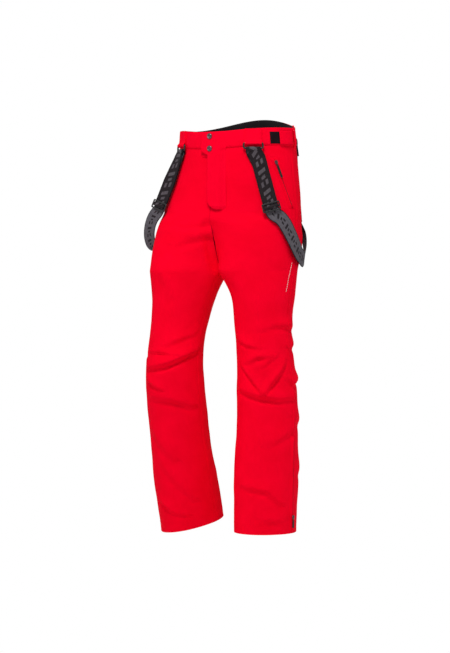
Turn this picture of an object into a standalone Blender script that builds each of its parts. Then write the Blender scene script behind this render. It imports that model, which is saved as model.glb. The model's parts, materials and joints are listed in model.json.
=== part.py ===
"""Ski trousers with two hanging suspenders, as an assembly of panels, trims and moving pieces.

Metres, +Z up. The wearer faces -Y and the wearer's left is +X. The origin is the middle of the waist
opening, 16 mm above the front of the waistband's top edge and 25 mm below its back.
A place on the fabric is given by a side (+1 left, -1 right), a turn round that side's leg in degrees
(0 inseam or front seam, 90 front, 180 outer side, 270 back) and a height.
"""
import math

import bmesh
import bpy
from mathutils import Matrix, Vector

LEFT, RIGHT = 1, -1
SIDE_NAMES = {LEFT: "left", RIGHT: "right"}

GAP = 0.0003
FABRIC = 0.0024
# The waist's top edge: its level in front, its rise from there to the sides, and on to the middle of the back.
WAIST_FRONT, WAIST_SIDE_RISE, WAIST_BACK_RISE = -0.016, 0.0105, 0.031
WAIST_RISE_FADES = -0.25
BAND_HEIGHT = 0.046
CROTCH_Z = -0.37
KNEE_TOP, KNEE_MIDDLE, KNEE_BOTTOM = -0.500, -0.590, -0.680
HEM_Z = {LEFT: -1.037, RIGHT: -1.031}
HEM_TILT = {LEFT: (0.0, 0.0), RIGHT: (0.14, 0.20)}     # rise per metre away from the inseam, to the back
HEM_TILT_STARTS = -0.72

# Hips: height, half width, depth in front, depth behind, middle y, twist of the section.
HIPS = (
    (0.040, 0.158, 0.117, 0.112, 0.000, 0.00),
    (0.000, 0.159, 0.118, 0.113, 0.000, 0.00),
    (-0.050, 0.164, 0.118, 0.119, 0.000, 0.00),
    (-0.120, 0.173, 0.109, 0.126, -0.010, 0.04),
    (-0.200, 0.180, 0.096, 0.128, -0.026, 0.14),
    (-0.280, 0.182, 0.088, 0.120, -0.044, 0.25),
    (-0.370, 0.172, 0.086, 0.092, -0.064, 0.36),
)
# How far each half has become its own round leg: 0 is one shared oval, 1 is two legs that touch.
FRONT_SPLIT = ((0.04, 0), (-0.22, 0), (-0.25, 0.40), (-0.28, 0.66), (-0.31, 0.83), (-0.34, 0.94), (-0.37, 1))
BACK_SPLIT = ((0.04, 0), (-0.25, 0), (-0.28, 0.35), (-0.31, 0.65), (-0.34, 0.88), (-0.37, 1))
# Legs: height, middle x, middle y, half width, depth in front, depth behind.
LEGS = {
    LEFT: (
        (-0.370, 0.086, -0.033, 0.086, 0.086, 0.092),
        (-0.430, 0.099, -0.030, 0.073, 0.080, 0.084),
        (-0.500, 0.101, -0.030, 0.068, 0.074, 0.077),
        (-0.565, 0.103, -0.028, 0.070, 0.076, 0.076),
        (-0.640, 0.107, -0.023, 0.075, 0.081, 0.079),
        (-0.740, 0.109, -0.023, 0.077, 0.082, 0.082),
        (-0.830, 0.110, -0.027, 0.080, 0.084, 0.085),
        (-0.920, 0.110, -0.031, 0.081, 0.086, 0.086),
        (-1.060, 0.110, -0.035, 0.078, 0.084, 0.084),
    ),
    RIGHT: (
        (-0.370, 0.086, -0.095, 0.086, 0.086, 0.092),
        (-0.430, 0.096, -0.101, 0.075, 0.080, 0.084),
        (-0.500, 0.105, -0.110, 0.068, 0.075, 0.076),
        (-0.565, 0.109, -0.119, 0.069, 0.076, 0.074),
        (-0.640, 0.111, -0.123, 0.074, 0.081, 0.077),
        (-0.740, 0.114, -0.107, 0.076, 0.079, 0.081),
        (-0.830, 0.117, -0.090, 0.077, 0.079, 0.083),
        (-0.920, 0.117, -0.067, 0.080, 0.083, 0.085),
        (-1.060, 0.118, -0.030, 0.081, 0.086, 0.087),
    ),
}
LEG_TWIST = ((-0.37, 0.36), (-0.43, 0.22), (-0.50, 0.10), (-0.565, 0.0), (-1.1, 0.0))

RING_TURN = {"front": 132, "back": 230}
RING_TOP_Z = -0.0390
RING_WIDTH, RING_HEIGHT, RING_BAR = 0.053, 0.0175, 0.0045
RING_OUT = 0.0062
TAB_WIDTH, TAB_HEIGHT, TAB_CLOTH = 0.043, 0.037, 0.0012
STRAP_WIDTH, STRAP_CLOTH = 0.038, 0.0016
STRAP_ENDS_Z = -0.130       # where the stiff part of a strap takes over from its flexing ends
STRAP_STRAIGHT_STEPS, STRAP_CURVED_STEPS = 8, 34        # points from the ring to the slider, and from there on
STRAP_TWIST_SHARE = 0.55    # the strap turns to face the hip in this upper share of its straight run
STRAP_LAYER_GAP = 0.0026    # between the middles of the strap and of the layer doubled back over it
STRAP_WRAP_RADIUS = 0.0036  # of the doubled layer's fold round the slider's middle bar
GLIDE_OUT = 0.0058          # the slider's middle above the strap that it runs on
STRAP_SLIDER = (0.047, 0.023, 0.0026, 0.003)            # width, height, thickness, corner radius
STRAP_SLIDER_SLOT = (0.040, 0.0056, 0.0049)             # width, height, distance from the middle bar
# A strap's route round the hip: turn, height, clearance from the fabric.
ROUTES = {
    LEFT: ((134, -0.0545, 0.0035), (143.5, -0.2065, 0.007), (152, -0.240, 0.007), (164, -0.283, 0.008),
           (181, -0.325, 0.012), (203, -0.338, 0.011), (220, -0.290, 0.008), (228, -0.1855, 0.006),
           (230, -0.0555, 0.0035)),
    RIGHT: ((133, -0.0545, 0.0035), (149, -0.2065, 0.018), (158, -0.245, 0.022), (172, -0.285, 0.024),
            (188, -0.318, 0.022), (204, -0.325, 0.016), (220, -0.285, 0.009), (228, -0.1855, 0.006),
            (230, -0.0555, 0.0035)),
}
# The right suspender's front half hangs free, facing this way, and turns to face the hip between these stops.
FREE_FACING, FREE_UNTIL = {RIGHT: Vector((-0.087, -0.996, 0))}, (3.0, 5.5)

FLAP_HINGE_X, FLAP_FREE_X, FLY_EDGE_X = 0.035, -0.028, -0.007
FLAP_OUT, FLAP_CLOTH = 0.0065, 0.0020
FLY_BOTTOM_Z = -0.212
FLAP_STEP_TOP_Z, FLAP_STEP_BOTTOM_Z = -0.052, -0.063     # where its free edge steps in, below the band
SNAP_HEIGHTS = {"upper": -0.0117, "lower": -0.0452}
SNAP_RADIUS = 0.00775
UNDERLAP_X, UNDERLAP_BOTTOM_Z, UNDERLAP_CLOTH = 0.020, -0.068, 0.0012
FLY_TAPE_HEIGHTS, FLY_TAPE_WIDTH, FLY_TAPE_CLOTH = (-0.069, -0.205), 0.026, 0.0008
FLY_SLIDER, FLY_SLIDER_Z = (0.009, 0.011, 0.0016), -0.077
FLY_PULL, FLY_PULL_Z = (0.0055, 0.0250, 0.0012), -0.0970
FLY_SLIDER_OUT = 0.0035

ZIP_GAP, ZIP_CLOTH = 0.0020, 0.0008
ZIP_SLIDER = (0.008, 0.010, 0.0022)
POCKET_ZIP = ((153, -0.0860), (170, -0.2040))
ANKLE_ZIP = ((180, -1.022), (180, -0.800))
BAND_FACES = (0.0016, -0.0014)          # outward distance of each face of a layer
FACING_FACES, FACING_BOTTOM_Z = (-0.0038, -0.0050), -0.060
BELT_LOOP_WIDTH, BELT_LOOP_CLOTH, BELT_LOOP_Z = 0.011, 0.0015, -0.028
HOOK_PATCH_OUT, HOOK_PATCH_CLOTH, HOOK_PATCH_HEIGHTS = 0.0031, 0.0008, (-0.011, -0.042)
WAIST_TAB_OUT, WAIST_TAB_CLOTH, WAIST_TAB_HEIGHTS = 0.0056, 0.0014, (-0.009, -0.044)
HOOK_PATCH_TURNS = (150, 163)
WAIST_TAB_TURNS = (161.5, 183)
BELT_LOOPS = {"left": (LEFT, 189), "right": (RIGHT, 189), "back": (LEFT, 270)}

RED = (0.97, 0.0, 0.018)
BLACK, WEBBING, GUNMETAL = (0.012, 0.010, 0.012), (0.016, 0.012, 0.014), (0.09, 0.06, 0.07)


def along(stations, height):
    """The station values at a height, by a smooth curve through all of them."""
    height = min(max(height, stations[-1][0]), stations[0][0])
    i = 0
    while i < len(stations) - 2 and height < stations[i + 1][0]:
        i += 1
    before, here, there = stations[max(i - 1, 0)], stations[i], stations[i + 1]
    after = stations[min(i + 2, len(stations) - 1)]
    span = there[0] - here[0]
    s = (height - here[0]) / span
    values = []
    for c in range(1, len(here)):
        leave = (there[c] - before[c]) / (there[0] - before[0]) * span
        arrive = (after[c] - here[c]) / (after[0] - here[0]) * span
        values.append((2 * s**3 - 3 * s**2 + 1) * here[c] + (s**3 - 2 * s**2 + s) * leave
                      + (3 * s**2 - 2 * s**3) * there[c] + (s**3 - s**2) * arrive)
    return values


def section(side, z):
    """(middle x, half width) in front and behind, then front depth, back depth, middle y and twist."""
    if z < CROTCH_Z:
        middle, y, half, front, back = along(LEGS[side], z)
        twist = along(LEG_TWIST, z)[0]
        return (middle, half), (middle, half), front, back, y - side * twist * middle, twist
    reach, front, back, y, twist = along(HIPS, z)
    shapes = []
    for split in (FRONT_SPLIT, BACK_SPLIT):
        half = reach / (1 + min(max(along(split, z)[0], 0), 1))
        shapes.append((reach - half, half))
    return shapes[0], shapes[1], front, back, y, twist


def seam_turns(side, z):
    """The turns at the front seam and the back seam; below the crotch both are the inseam."""
    if z < CROTCH_Z:
        return 0.0, 360.0
    front, back = section(side, z)[:2]
    return (math.degrees(math.acos(min(1, front[0] / front[1]))),
            360 - math.degrees(math.acos(min(1, back[0] / back[1]))))


def place(side, turn, z):
    """A point of the fabric's outer face."""
    front_shape, back_shape, front, back, y, twist = section(side, z)
    middle, half = front_shape if turn <= 180 else back_shape
    angle = math.radians(turn)
    x = middle - half * math.cos(angle)
    depth = front if math.sin(angle) > 0 else back
    if z > WAIST_RISE_FADES:
        behind = (1 - math.sin(angle)) / 2
        level = WAIST_FRONT + WAIST_SIDE_RISE * (1 - math.exp(-behind / 0.12)) + WAIST_BACK_RISE * behind**6
        z += level * (1 - z / WAIST_RISE_FADES if z < 0 else 1)
    y += side * twist * x - depth * math.sin(angle)
    if z < HEM_TILT_STARTS:
        share = (z - HEM_TILT_STARTS) / (HEM_Z[side] - HEM_TILT_STARTS)
        leg = along(LEGS[side], z)
        z += share * (HEM_TILT[side][0] * (leg[0] - x) + HEM_TILT[side][1] * (y - leg[1]))
    return Vector((side * (x + GAP), y, z))


def outward(side, turn, z):
    across = place(side, turn + 0.5, z) - place(side, turn - 0.5, z)
    down = place(side, turn, z - 0.002) - place(side, turn, z + 0.002)
    return down.cross(across).normalized() * side


def skin(side, turn, z, out=0.0):
    return place(side, turn, z) + outward(side, turn, z) * out


def turn_at(side, x, z):
    """The turn on the front where the fabric is at that x."""
    middle, half = section(side, z)[0]
    return math.degrees(math.acos((middle - side * x) / half))


def front_point(x, z, out):
    side = LEFT if x >= 0 else RIGHT
    return skin(side, turn_at(side, x, z), z, out)


def frame_at(side, turn, z, out=0.0):
    """A frame on the fabric: X across, Y up the fabric, Z outward."""
    n = outward(side, turn, z)
    across = Vector((0, 0, 1)).cross(n).normalized()
    up = n.cross(across)
    return Matrix.Translation(skin(side, turn, z, out)) @ Matrix((across, up, n)).transposed().to_4x4()


def clear_scene():
    for obj in list(bpy.data.objects):
        bpy.data.objects.remove(obj, do_unlink=True)


def new_object(name, data, colour, roughness, metallic):
    material = bpy.data.materials.new(name)
    material.use_nodes = True
    shader = material.node_tree.nodes["Principled BSDF"]
    shader.inputs["Base Color"].default_value = (*colour, 1)
    shader.inputs["Roughness"].default_value = roughness
    shader.inputs["Metallic"].default_value = metallic
    material.diffuse_color = (*colour, 1)
    data.materials.append(material)
    obj = bpy.data.objects.new(name, data)
    TROUSERS.objects.link(obj)
    return obj


def cloth(name, rows, thickness, colour, roughness=0.7):
    """A sheet through rows of points, given thickness by Solidify on the side that its rows turn from."""
    columns = len(rows[0])
    mesh = bpy.data.meshes.new(name)
    faces = []
    for r in range(len(rows) - 1):
        for c in range(columns - 1):
            here, below = r * columns + c, (r + 1) * columns + c
            faces.append((here, below, below + 1, here + 1))
    mesh.from_pydata([tuple(p) for row in rows for p in row], [], faces)
    mesh.shade_smooth()
    obj = new_object(name, mesh, colour, roughness, 0.0)
    solidify = obj.modifiers.new("thickness", "SOLIDIFY")
    solidify.thickness = thickness
    solidify.offset = 0
    return obj


def loft(name, outer, inner, colour, ring=False, roughness=0.7):
    """A closed shell between an outer and an inner face, given as rows of points that run the same way."""
    rows, columns = len(outer), len(outer[0])
    bm = bmesh.new()
    layers = [[[bm.verts.new(p) for p in row] for row in face] for face in (outer, inner)]

    def quad(*corners):
        bm.faces.new(corners)
    for r in range(rows - 1):
        for c in range(columns if ring else columns - 1):
            d = (c + 1) % columns
            for face, flip in zip(layers, (False, True)):
                corners = (face[r][c], face[r + 1][c], face[r + 1][d], face[r][d])
                quad(*(corners[::-1] if flip else corners))
    front, back = layers
    for c in range(columns if ring else columns - 1):
        d = (c + 1) % columns
        quad(front[0][d], back[0][d], back[0][c], front[0][c])
        quad(front[-1][c], back[-1][c], back[-1][d], front[-1][d])
    if not ring:
        for r in range(rows - 1):
            quad(front[r][0], back[r][0], back[r + 1][0], front[r + 1][0])
            quad(front[r + 1][-1], back[r + 1][-1], back[r][-1], front[r][-1])
    mesh = bpy.data.meshes.new(name)
    bm.to_mesh(mesh)
    bm.free()
    return new_object(name, mesh, colour, roughness, 0.0)


def steps(first, last, count):
    return [first + (last - first) * i / count for i in range(count + 1)]


def facing_out(side, row):
    """A row of points with rising turn faces outward on the left; on the right it is turned round."""
    return row if side == LEFT else row[::-1]


def panel(name, side, turns, heights, columns, colour=RED, out=0.0, thickness=FABRIC, roughness=0.7):
    """A fabric piece between two turns, which may be functions of the height."""
    faces = []
    for level in (out, out - thickness):
        rows = []
        for z in heights:
            first, last = (t(z) if callable(t) else t for t in turns)
            rows.append(facing_out(side, [skin(side, t, z, level) for t in steps(first, last, columns)]))
        faces.append(rows)
    return loft(name, *faces, colour, roughness=roughness)


def tube_panel(name, side, heights, columns, colour):
    faces = []
    for level in (0, -FABRIC):
        rows = [[skin(side, 360 * c / columns, z, level) for c in range(columns)] for z in heights]
        faces.append([facing_out(side, row) for row in rows])
    return loft(name, *faces, colour, ring=True)


def ribbon(name, middles, acrosses, width, thickness, colour, roughness=0.7):
    """A band of webbing along its middle line; it faces along across x forward."""
    rows = [[m - a * width / 2, m + a * width / 2] for m, a in zip(middles, acrosses)]
    return cloth(name, rows, thickness, colour, roughness=roughness)


def looped_ribbon(name, frame, outline, width, thickness, colour):
    """A ribbon that folds in the frame's up-outward plane, through outline's (up, out) points."""
    middles = [frame @ Vector((0, up, out)) for up, out in outline]
    across = frame.to_3x3() @ Vector((1, 0, 0))
    return ribbon(name, middles, [across] * len(middles), width, thickness, colour)


def arc(centre, radius, start, end, count):
    """(up, out) points round a centre; 0 degrees is outward and 90 is up."""
    return [(centre[0] + radius * math.sin(math.radians(a)), centre[1] + radius * math.cos(math.radians(a)))
            for a in steps(start, end, count)]


def solid(name, bm, frame, colour, roughness=0.45, metallic=0.0):
    mesh = bpy.data.meshes.new(name)
    bm.to_mesh(mesh)
    bm.free()
    obj = new_object(name, mesh, colour, roughness, metallic)
    obj.matrix_world = frame
    return obj


def block(name, frame, size, colour, bevel=0.0006, metallic=0.0):
    """A rounded block with its middle at the frame's origin."""
    bm = bmesh.new()
    bmesh.ops.create_cube(bm, size=1, matrix=Matrix.Diagonal((*size, 1)))
    obj = solid(name, bm, frame, colour, metallic=metallic)
    rounding = obj.modifiers.new("rounding", "BEVEL")
    rounding.width = bevel
    rounding.segments = 1
    return obj


def disc(name, frame, profile, colour, metallic=0.0, sides=20):
    """A turned piece: profile is (radius, height) from the top of its axis, down its side, to the bottom."""
    mesh = bpy.data.meshes.new(name)
    mesh.from_pydata([(r, 0, h) for r, h in profile], [(i, i + 1) for i in range(len(profile) - 1)], [])
    obj = new_object(name, mesh, colour, 0.35, metallic)
    obj.matrix_world = frame
    screw = obj.modifiers.new("turning", "SCREW")
    screw.steps = screw.render_steps = sides
    screw.use_merge_vertices = True
    screw.merge_threshold = 0.00005
    return obj


def rounded_corners(width, height, radius, per_corner=3):
    """The outline of a rectangle with rounded corners."""
    points = []
    for quarter, (sx, sy) in enumerate(((1, 1), (-1, 1), (-1, -1), (1, -1))):
        for i in range(per_corner):
            a = math.radians(90 * quarter + 90 * i / (per_corner - 1))
            points.append((sx * (width / 2 - radius) + radius * math.cos(a),
                           sy * (height / 2 - radius) + radius * math.sin(a)))
    return points


def curve_object(name, frame, outlines, colour, flat, depth, metallic=0.0):
    """A wire frame (bevelled) or a flat plate with holes (extruded), from closed outlines."""
    curve = bpy.data.curves.new(name, "CURVE")
    curve.dimensions = "2D" if flat else "3D"
    for outline in outlines:
        spline = curve.splines.new("POLY")
        spline.points.add(len(outline) - 1)
        for point, (x, y) in zip(spline.points, outline):
            point.co = (x, y, 0, 1)
        spline.use_cyclic_u = True
    if flat:
        curve.fill_mode = "BOTH"
        curve.extrude = depth / 2
    else:
        curve.bevel_depth = depth / 2
        curve.bevel_resolution = 2
    obj = new_object(name, curve, colour, 0.4, metallic)
    obj.matrix_world = frame
    return obj


def make_shell():
    """The red fabric: hips with thighs, knees, shins, cut at the side seams, inseams and middle seams."""
    side_cut, inseam_cut = 0.12, 0.2
    hips = [-BAND_HEIGHT - GAP] + steps(-0.075, -0.215, 4) + steps(-0.25, CROTCH_Z, 4)
    hips += steps(-0.40, KNEE_TOP, 3)
    shin = [KNEE_BOTTOM - GAP] + steps(-0.72, -0.96, 5)
    for side, word in SIDE_NAMES.items():
        def front_edge(z, side=side):
            return seam_turns(side, z)[0] + (inseam_cut if z <= CROTCH_Z else 0)

        def back_edge(z, side=side):
            return seam_turns(side, z)[1] - (inseam_cut if z <= CROTCH_Z else 0)
        panel(f"front_panel_{word}", side, (front_edge, 180 - side_cut), hips, 9)
        panel(f"back_panel_{word}", side, (180 + side_cut, back_edge), hips, 9)
        tube_panel(f"knee_panel_{word}", side, steps(KNEE_TOP - GAP, KNEE_BOTTOM, 4), 18, RED)
        heights = shin + [HEM_Z[side]]
        panel(f"shin_front_{word}", side, (inseam_cut, 180 - side_cut), heights, 8)
        panel(f"shin_back_{word}", side, (180 + side_cut, 360 - inseam_cut), heights, 8)


def make_waist():
    """Two band halves that meet at the back and pass each other at the fly, and a black facing inside."""
    front_ends = {LEFT: FLAP_HINGE_X + 0.001, RIGHT: 0}
    for side, word in SIDE_NAMES.items():
        faces = []
        for out in BAND_FACES:
            rows = []
            for z in (0.0, -BAND_HEIGHT):
                under_flap = []
                if side == RIGHT:   # the right half runs on past the middle, under the flap
                    under_flap = [front_point(x, z, out) for x in (UNDERLAP_X, UNDERLAP_X / 2)]
                start = turn_at(side, front_ends[side], z)
                around = [skin(side, t, z, out) for t in steps(start, 269.9, 16)]
                rows.append(facing_out(side, under_flap + around))
            faces.append(rows)
        loft(f"waistband_{word}", *faces, RED)
    faces = []
    for out in FACING_FACES:
        rows = []
        for z in (-0.0005, FACING_BOTTOM_Z):
            left = [skin(LEFT, t, z, out) for t in steps(90, 270, 14)]
            right = [skin(RIGHT, t, z, out) for t in steps(270, 90, 14)]
            rows.append(left + right[1:-1])
        faces.append(rows)
    loft("waist_facing", *faces, BLACK, ring=True)
    for word, (side, turn) in BELT_LOOPS.items():
        outline = [(0.026, 0.0031), (0.022, 0.0031), (0.018, 0.0058), (0, 0.0064), (-0.018, 0.0058),
                   (-0.022, 0.0031), (-0.026, 0.0031)]
        frame = frame_at(side, turn, BELT_LOOP_Z)
        looped_ribbon(f"belt_loop_{word}", frame, outline, BELT_LOOP_WIDTH, BELT_LOOP_CLOTH, RED)
    for side, word in SIDE_NAMES.items():
        panel(f"hook_patch_{word}", side, HOOK_PATCH_TURNS, HOOK_PATCH_HEIGHTS, 3, BLACK, HOOK_PATCH_OUT,
              HOOK_PATCH_CLOTH, roughness=0.9)
        panel(f"waist_tab_{word}", side, WAIST_TAB_TURNS, WAIST_TAB_HEIGHTS, 4, RED, WAIST_TAB_OUT,
              WAIST_TAB_CLOTH)


def make_fly():
    """Zip under a flap that the wearer's left front carries over the right, closed by two snaps."""
    rows = [[front_point(x, z, BAND_FACES[0]) for x in (-0.027, -0.013, 0.0, 0.010, UNDERLAP_X)]
            for z in (-BAND_HEIGHT - GAP, UNDERLAP_BOTTOM_Z)]
    cloth("fly_underlap", rows, UNDERLAP_CLOTH, RED)
    rows = [[front_point(x, z, 0.0012) for x in (-FLY_TAPE_WIDTH / 2, 0.0, FLY_TAPE_WIDTH / 2)]
            for z in steps(*FLY_TAPE_HEIGHTS, 4)]
    cloth("fly_zip_tape", rows, FLY_TAPE_CLOTH, BLACK, roughness=0.85)
    slider_frame = frame_at(LEFT, 90, FLY_SLIDER_Z, FLY_SLIDER_OUT)
    block("fly_zip_slider", slider_frame, FLY_SLIDER, GUNMETAL, metallic=0.8)
    pull_frame = frame_at(LEFT, 90, FLY_PULL_Z, FLY_SLIDER_OUT)
    block("fly_zip_pull", pull_frame, FLY_PULL, GUNMETAL, 0.0004, 0.8)

    def free_edge(z):
        if z > FLAP_STEP_TOP_Z:
            return FLAP_FREE_X
        if z > FLAP_STEP_BOTTOM_Z:
            share = (FLAP_STEP_TOP_Z - z) / (FLAP_STEP_TOP_Z - FLAP_STEP_BOTTOM_Z)
            return FLAP_FREE_X + (FLY_EDGE_X - FLAP_FREE_X) * share
        if z > -0.180:
            return FLY_EDGE_X
        fall = (-0.180 - z) / (-0.180 - FLY_BOTTOM_Z)
        return FLY_EDGE_X + 0.030 * (1 - math.sqrt(max(0.0, 1 - fall**2)))
    rows = []
    step = (FLAP_STEP_TOP_Z, (FLAP_STEP_TOP_Z + FLAP_STEP_BOTTOM_Z) / 2, FLAP_STEP_BOTTOM_Z)
    for z in (0.0, -0.0235, *step, -0.10, -0.14, -0.18, -0.196, -0.207, FLY_BOTTOM_Z):
        rows.append([front_point(x, z, FLAP_OUT) for x in steps(free_edge(z), FLAP_HINGE_X, 5)])
    cloth("fly_flap", rows, FLAP_CLOTH, RED)
    for word, z in SNAP_HEIGHTS.items():
        stud = [(0, 0.0023), (0.0028, 0.0020), (0.0028, 0.0006), (0.0060, 0.0006), (0.0060, 0), (0, 0)]
        disc(f"snap_stud_{word}", frame_at(LEFT, 90, z, 0.0026), stud, GUNMETAL, 0.9)
        cap = [(0, 0.0026), (0.0040, 0.0024), (0.0066, 0.0016), (SNAP_RADIUS, 0.0006), (SNAP_RADIUS, 0), (0, 0)]
        disc(f"snap_cap_{word}", frame_at(LEFT, 90, z, FLAP_OUT + FLAP_CLOTH / 2 + GAP), cap, GUNMETAL, 0.9)


def zip_line(side, ends):
    """The straight line that a zip closes along, as its upper end, lower end and outward direction, lifted
    clear of the fabric's bulge between its ends."""
    high, low = (skin(side, *end) for end in sorted(ends, key=lambda end: -end[1]))
    (turn_a, z_a), (turn_b, z_b) = ends
    up = (high - low).normalized()
    n = outward(side, (turn_a + turn_b) / 2, (z_a + z_b) / 2)
    n = (n - up * n.dot(up)).normalized()
    bulge = max((skin(side, turn_a + (turn_b - turn_a) * s, z_a + (z_b - z_a) * s) - low).dot(n)
                for s in steps(0, 1, 12))
    return high + n * bulge, low + n * bulge, n


def make_zip(name, side, ends, width, pull_length, slider_share):
    """A closed zip: tape, slider at a share of the way from its upper end, and a pull that hangs from it."""
    high, low, n = zip_line(side, ends)
    up = (high - low).normalized()
    across = up.cross(n)
    rows = []
    for s in steps(0, 1, 2):
        middle = high.lerp(low, s) + n * (ZIP_GAP + ZIP_CLOTH / 2)
        rows.append([middle - across * width / 2, middle + across * width / 2])
    cloth(f"{name}_tape", rows, ZIP_CLOTH, BLACK, roughness=0.85)
    slider = high.lerp(low, slider_share) + n * (ZIP_GAP + ZIP_CLOTH + GAP + ZIP_SLIDER[2] / 2)
    frame = Matrix.Translation(slider) @ Matrix((across, up, n)).transposed().to_4x4()
    block(f"{name}_slider", frame, ZIP_SLIDER, GUNMETAL, metallic=0.6)
    pull_frame = frame @ Matrix.Translation((0, -ZIP_SLIDER[1] / 2 - 2 * GAP - pull_length / 2, 0.0004))
    block(f"{name}_pull", pull_frame, (0.006, pull_length, 0.0016), BLACK, 0.0004)


def strap_route(side):
    """Middle points, outward directions and across directions of a suspender, from front ring to back ring."""
    route = ROUTES[side]
    points, normals = [], []
    start, glide = (skin(side, *stop) for stop in route[:2])
    for i in range(STRAP_STRAIGHT_STEPS):
        points.append(start.lerp(glide, i / STRAP_STRAIGHT_STEPS))
    stops = [(-i, *stop) for i, stop in enumerate(route)]
    for i in range(STRAP_CURVED_STEPS + 1):
        turn, z, out = along(stops, -1 - (len(route) - 2) * i / STRAP_CURVED_STEPS)
        points.append(skin(side, turn, z, out))
        normals.append(outward(side, turn, z))
    glide_normal = outward(side, route[1][0], route[1][1])
    ring_normal = outward(side, route[0][0], route[0][1])
    if side in FREE_FACING:
        glide_normal = FREE_FACING[side]
        for i in range(STRAP_CURVED_STEPS + 1):
            stop = 1 + (len(route) - 2) * i / STRAP_CURVED_STEPS
            hip = min(max((stop - FREE_UNTIL[0]) / (FREE_UNTIL[1] - FREE_UNTIL[0]), 0), 1)
            normals[i] = glide_normal.lerp(normals[i], hip * hip * (3 - 2 * hip)).normalized()
    turned = [min(1, i / STRAP_STRAIGHT_STEPS / STRAP_TWIST_SHARE) for i in range(STRAP_STRAIGHT_STEPS)]
    normals = [ring_normal.lerp(glide_normal, share).normalized() for share in turned] + normals
    acrosses = []
    for i in range(len(points)):
        forward = (points[min(i + 1, len(points) - 1)] - points[max(i - 1, 0)]).normalized()
        acrosses.append(normals[i].cross(forward).normalized())
    return points, normals, acrosses


def make_suspender(side, word):
    """Sewn tab and ring at each end, two flexing end loops, the strap, its doubled layer and its slider."""
    for end, turn in RING_TURN.items():
        frame = frame_at(side, turn, RING_TOP_Z)
        bar = (0.0, RING_OUT)
        fold = RING_BAR / 2 + GAP + TAB_CLOTH / 2
        outline = [(TAB_HEIGHT, 0.0046), (0.010, 0.0046), (0.0050, 0.0064)] + arc(bar, fold, 40, -180, 6)
        outline += [(0.006, 0.0030), (TAB_HEIGHT, 0.0030)]
        looped_ribbon(f"{end}_tab_{word}", frame, outline, TAB_WIDTH, TAB_CLOTH, RED)
        drop = RING_HEIGHT - RING_BAR
        ring_frame = frame @ Matrix.Translation((0, -drop / 2, RING_OUT))
        corners = rounded_corners(RING_WIDTH - RING_BAR, drop, 0.003)
        curve_object(f"{end}_ring_{word}", ring_frame, [corners], BLACK, False, RING_BAR)
    points, normals, acrosses = strap_route(side)
    heights = [p.z for p in points]
    front_cut = next(i for i in range(len(points)) if heights[i] < STRAP_ENDS_Z)
    back_cut = next(i for i in reversed(range(len(points))) if heights[i] < STRAP_ENDS_Z)
    main = slice(front_cut, back_cut + 1)
    ribbon(f"strap_{word}", points[main], acrosses[main], STRAP_WIDTH, STRAP_CLOTH, WEBBING)

    at = STRAP_STRAIGHT_STEPS
    glide = points[at]
    up = (points[0] - glide).normalized()
    n = (normals[at] - up * normals[at].dot(up)).normalized()
    across = up.cross(n)
    glide_frame = Matrix.Translation(glide + n * GLIDE_OUT) @ Matrix((across, up, n)).transposed().to_4x4()
    width, height, thickness, corner = STRAP_SLIDER
    slot_width, slot_height, slot_shift = STRAP_SLIDER_SLOT
    slot = rounded_corners(slot_width, slot_height, 0.001, 2)
    plate = [rounded_corners(width, height, corner)]
    plate += [[(x, y + shift) for x, y in slot] for shift in (-slot_shift, slot_shift)]
    curve_object(f"strap_slider_{word}", glide_frame, plate, BLACK, True, thickness)

    middles = [points[i] + normals[i] * STRAP_LAYER_GAP for i in range(front_cut, at)]
    widths = acrosses[front_cut:at]
    threaded = [(0.0082, -0.0034), (0.0049, -0.0006)] + arc((0, 0), STRAP_WRAP_RADIUS, 60, -150, 7)
    middles += [glide_frame @ Vector((0, y, out)) for y, out in threaded]
    sign = 1 if across.dot(acrosses[at]) > 0 else -1
    widths += [across * sign] * len(threaded)
    ribbon(f"strap_doubled_{word}", middles, widths, STRAP_WIDTH, STRAP_CLOTH, WEBBING)
    make_strap_loop(side, word, "front", points[front_cut:front_cut - 2:-1], normals[front_cut],
                    acrosses[front_cut], STRAP_LAYER_GAP)
    make_strap_loop(side, word, "back", points[back_cut:back_cut + 2], normals[back_cut], acrosses[back_cut], None)


def make_strap_loop(side, word, end, leaving, normal, strap_across, layer):
    """The strap's flexing end: it passes through the ring, over its lower bar, and doubles back.
    layer is how far out the doubled layer lies where the stiff part takes over; None is a short sewn end."""
    frame = frame_at(side, RING_TURN[end], RING_TOP_Z)
    bar = frame @ Vector((0, RING_BAR - RING_HEIGHT, RING_OUT))
    ring_across, _, n = (Vector(c) for c in frame.to_3x3().transposed())
    if ring_across.dot(strap_across) < 0:
        ring_across = -ring_across
    near = leaving[0] + (leaving[1] - leaving[0]).normalized() * 0.0010
    away = (near - bar - n * (near - bar).dot(n)).normalized()
    away = (away - ring_across * away.dot(ring_across)).normalized()
    fold = RING_BAR / 2 + 0.0005 + STRAP_CLOTH / 2
    wrap = [bar + (n * math.sin(a) - away * math.cos(a)) * fold for a in map(math.radians, steps(-80, 80, 6))]
    behind, before = bar + away * 0.008 - n * 0.0028, bar + away * 0.008 + n * 0.0034
    if layer is None:
        tail, tail_across = bar + away * 0.030 + n * 0.0046, ring_across
        middles = [near, bar + away * 0.030 + n * 0.0006, behind] + wrap + [before, tail]
    else:
        tail, tail_across = near + normal * layer, strap_across
        middles = [near, behind] + wrap + [before, tail]
    widths = [strap_across] + [ring_across] * (len(middles) - 2) + [tail_across]
    ribbon(f"strap_{end}_loop_{word}", middles, widths, STRAP_WIDTH, STRAP_CLOTH, WEBBING)


def make_all():
    make_shell()
    make_waist()
    make_fly()
    for side, word in SIDE_NAMES.items():
        make_zip(f"pocket_zip_{word}", side, POCKET_ZIP, 0.008, 0.036, 0.04)
        make_zip(f"ankle_zip_{word}", side, ANKLE_ZIP, 0.009, 0.022, 0.88)
        make_suspender(side, word)


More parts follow.
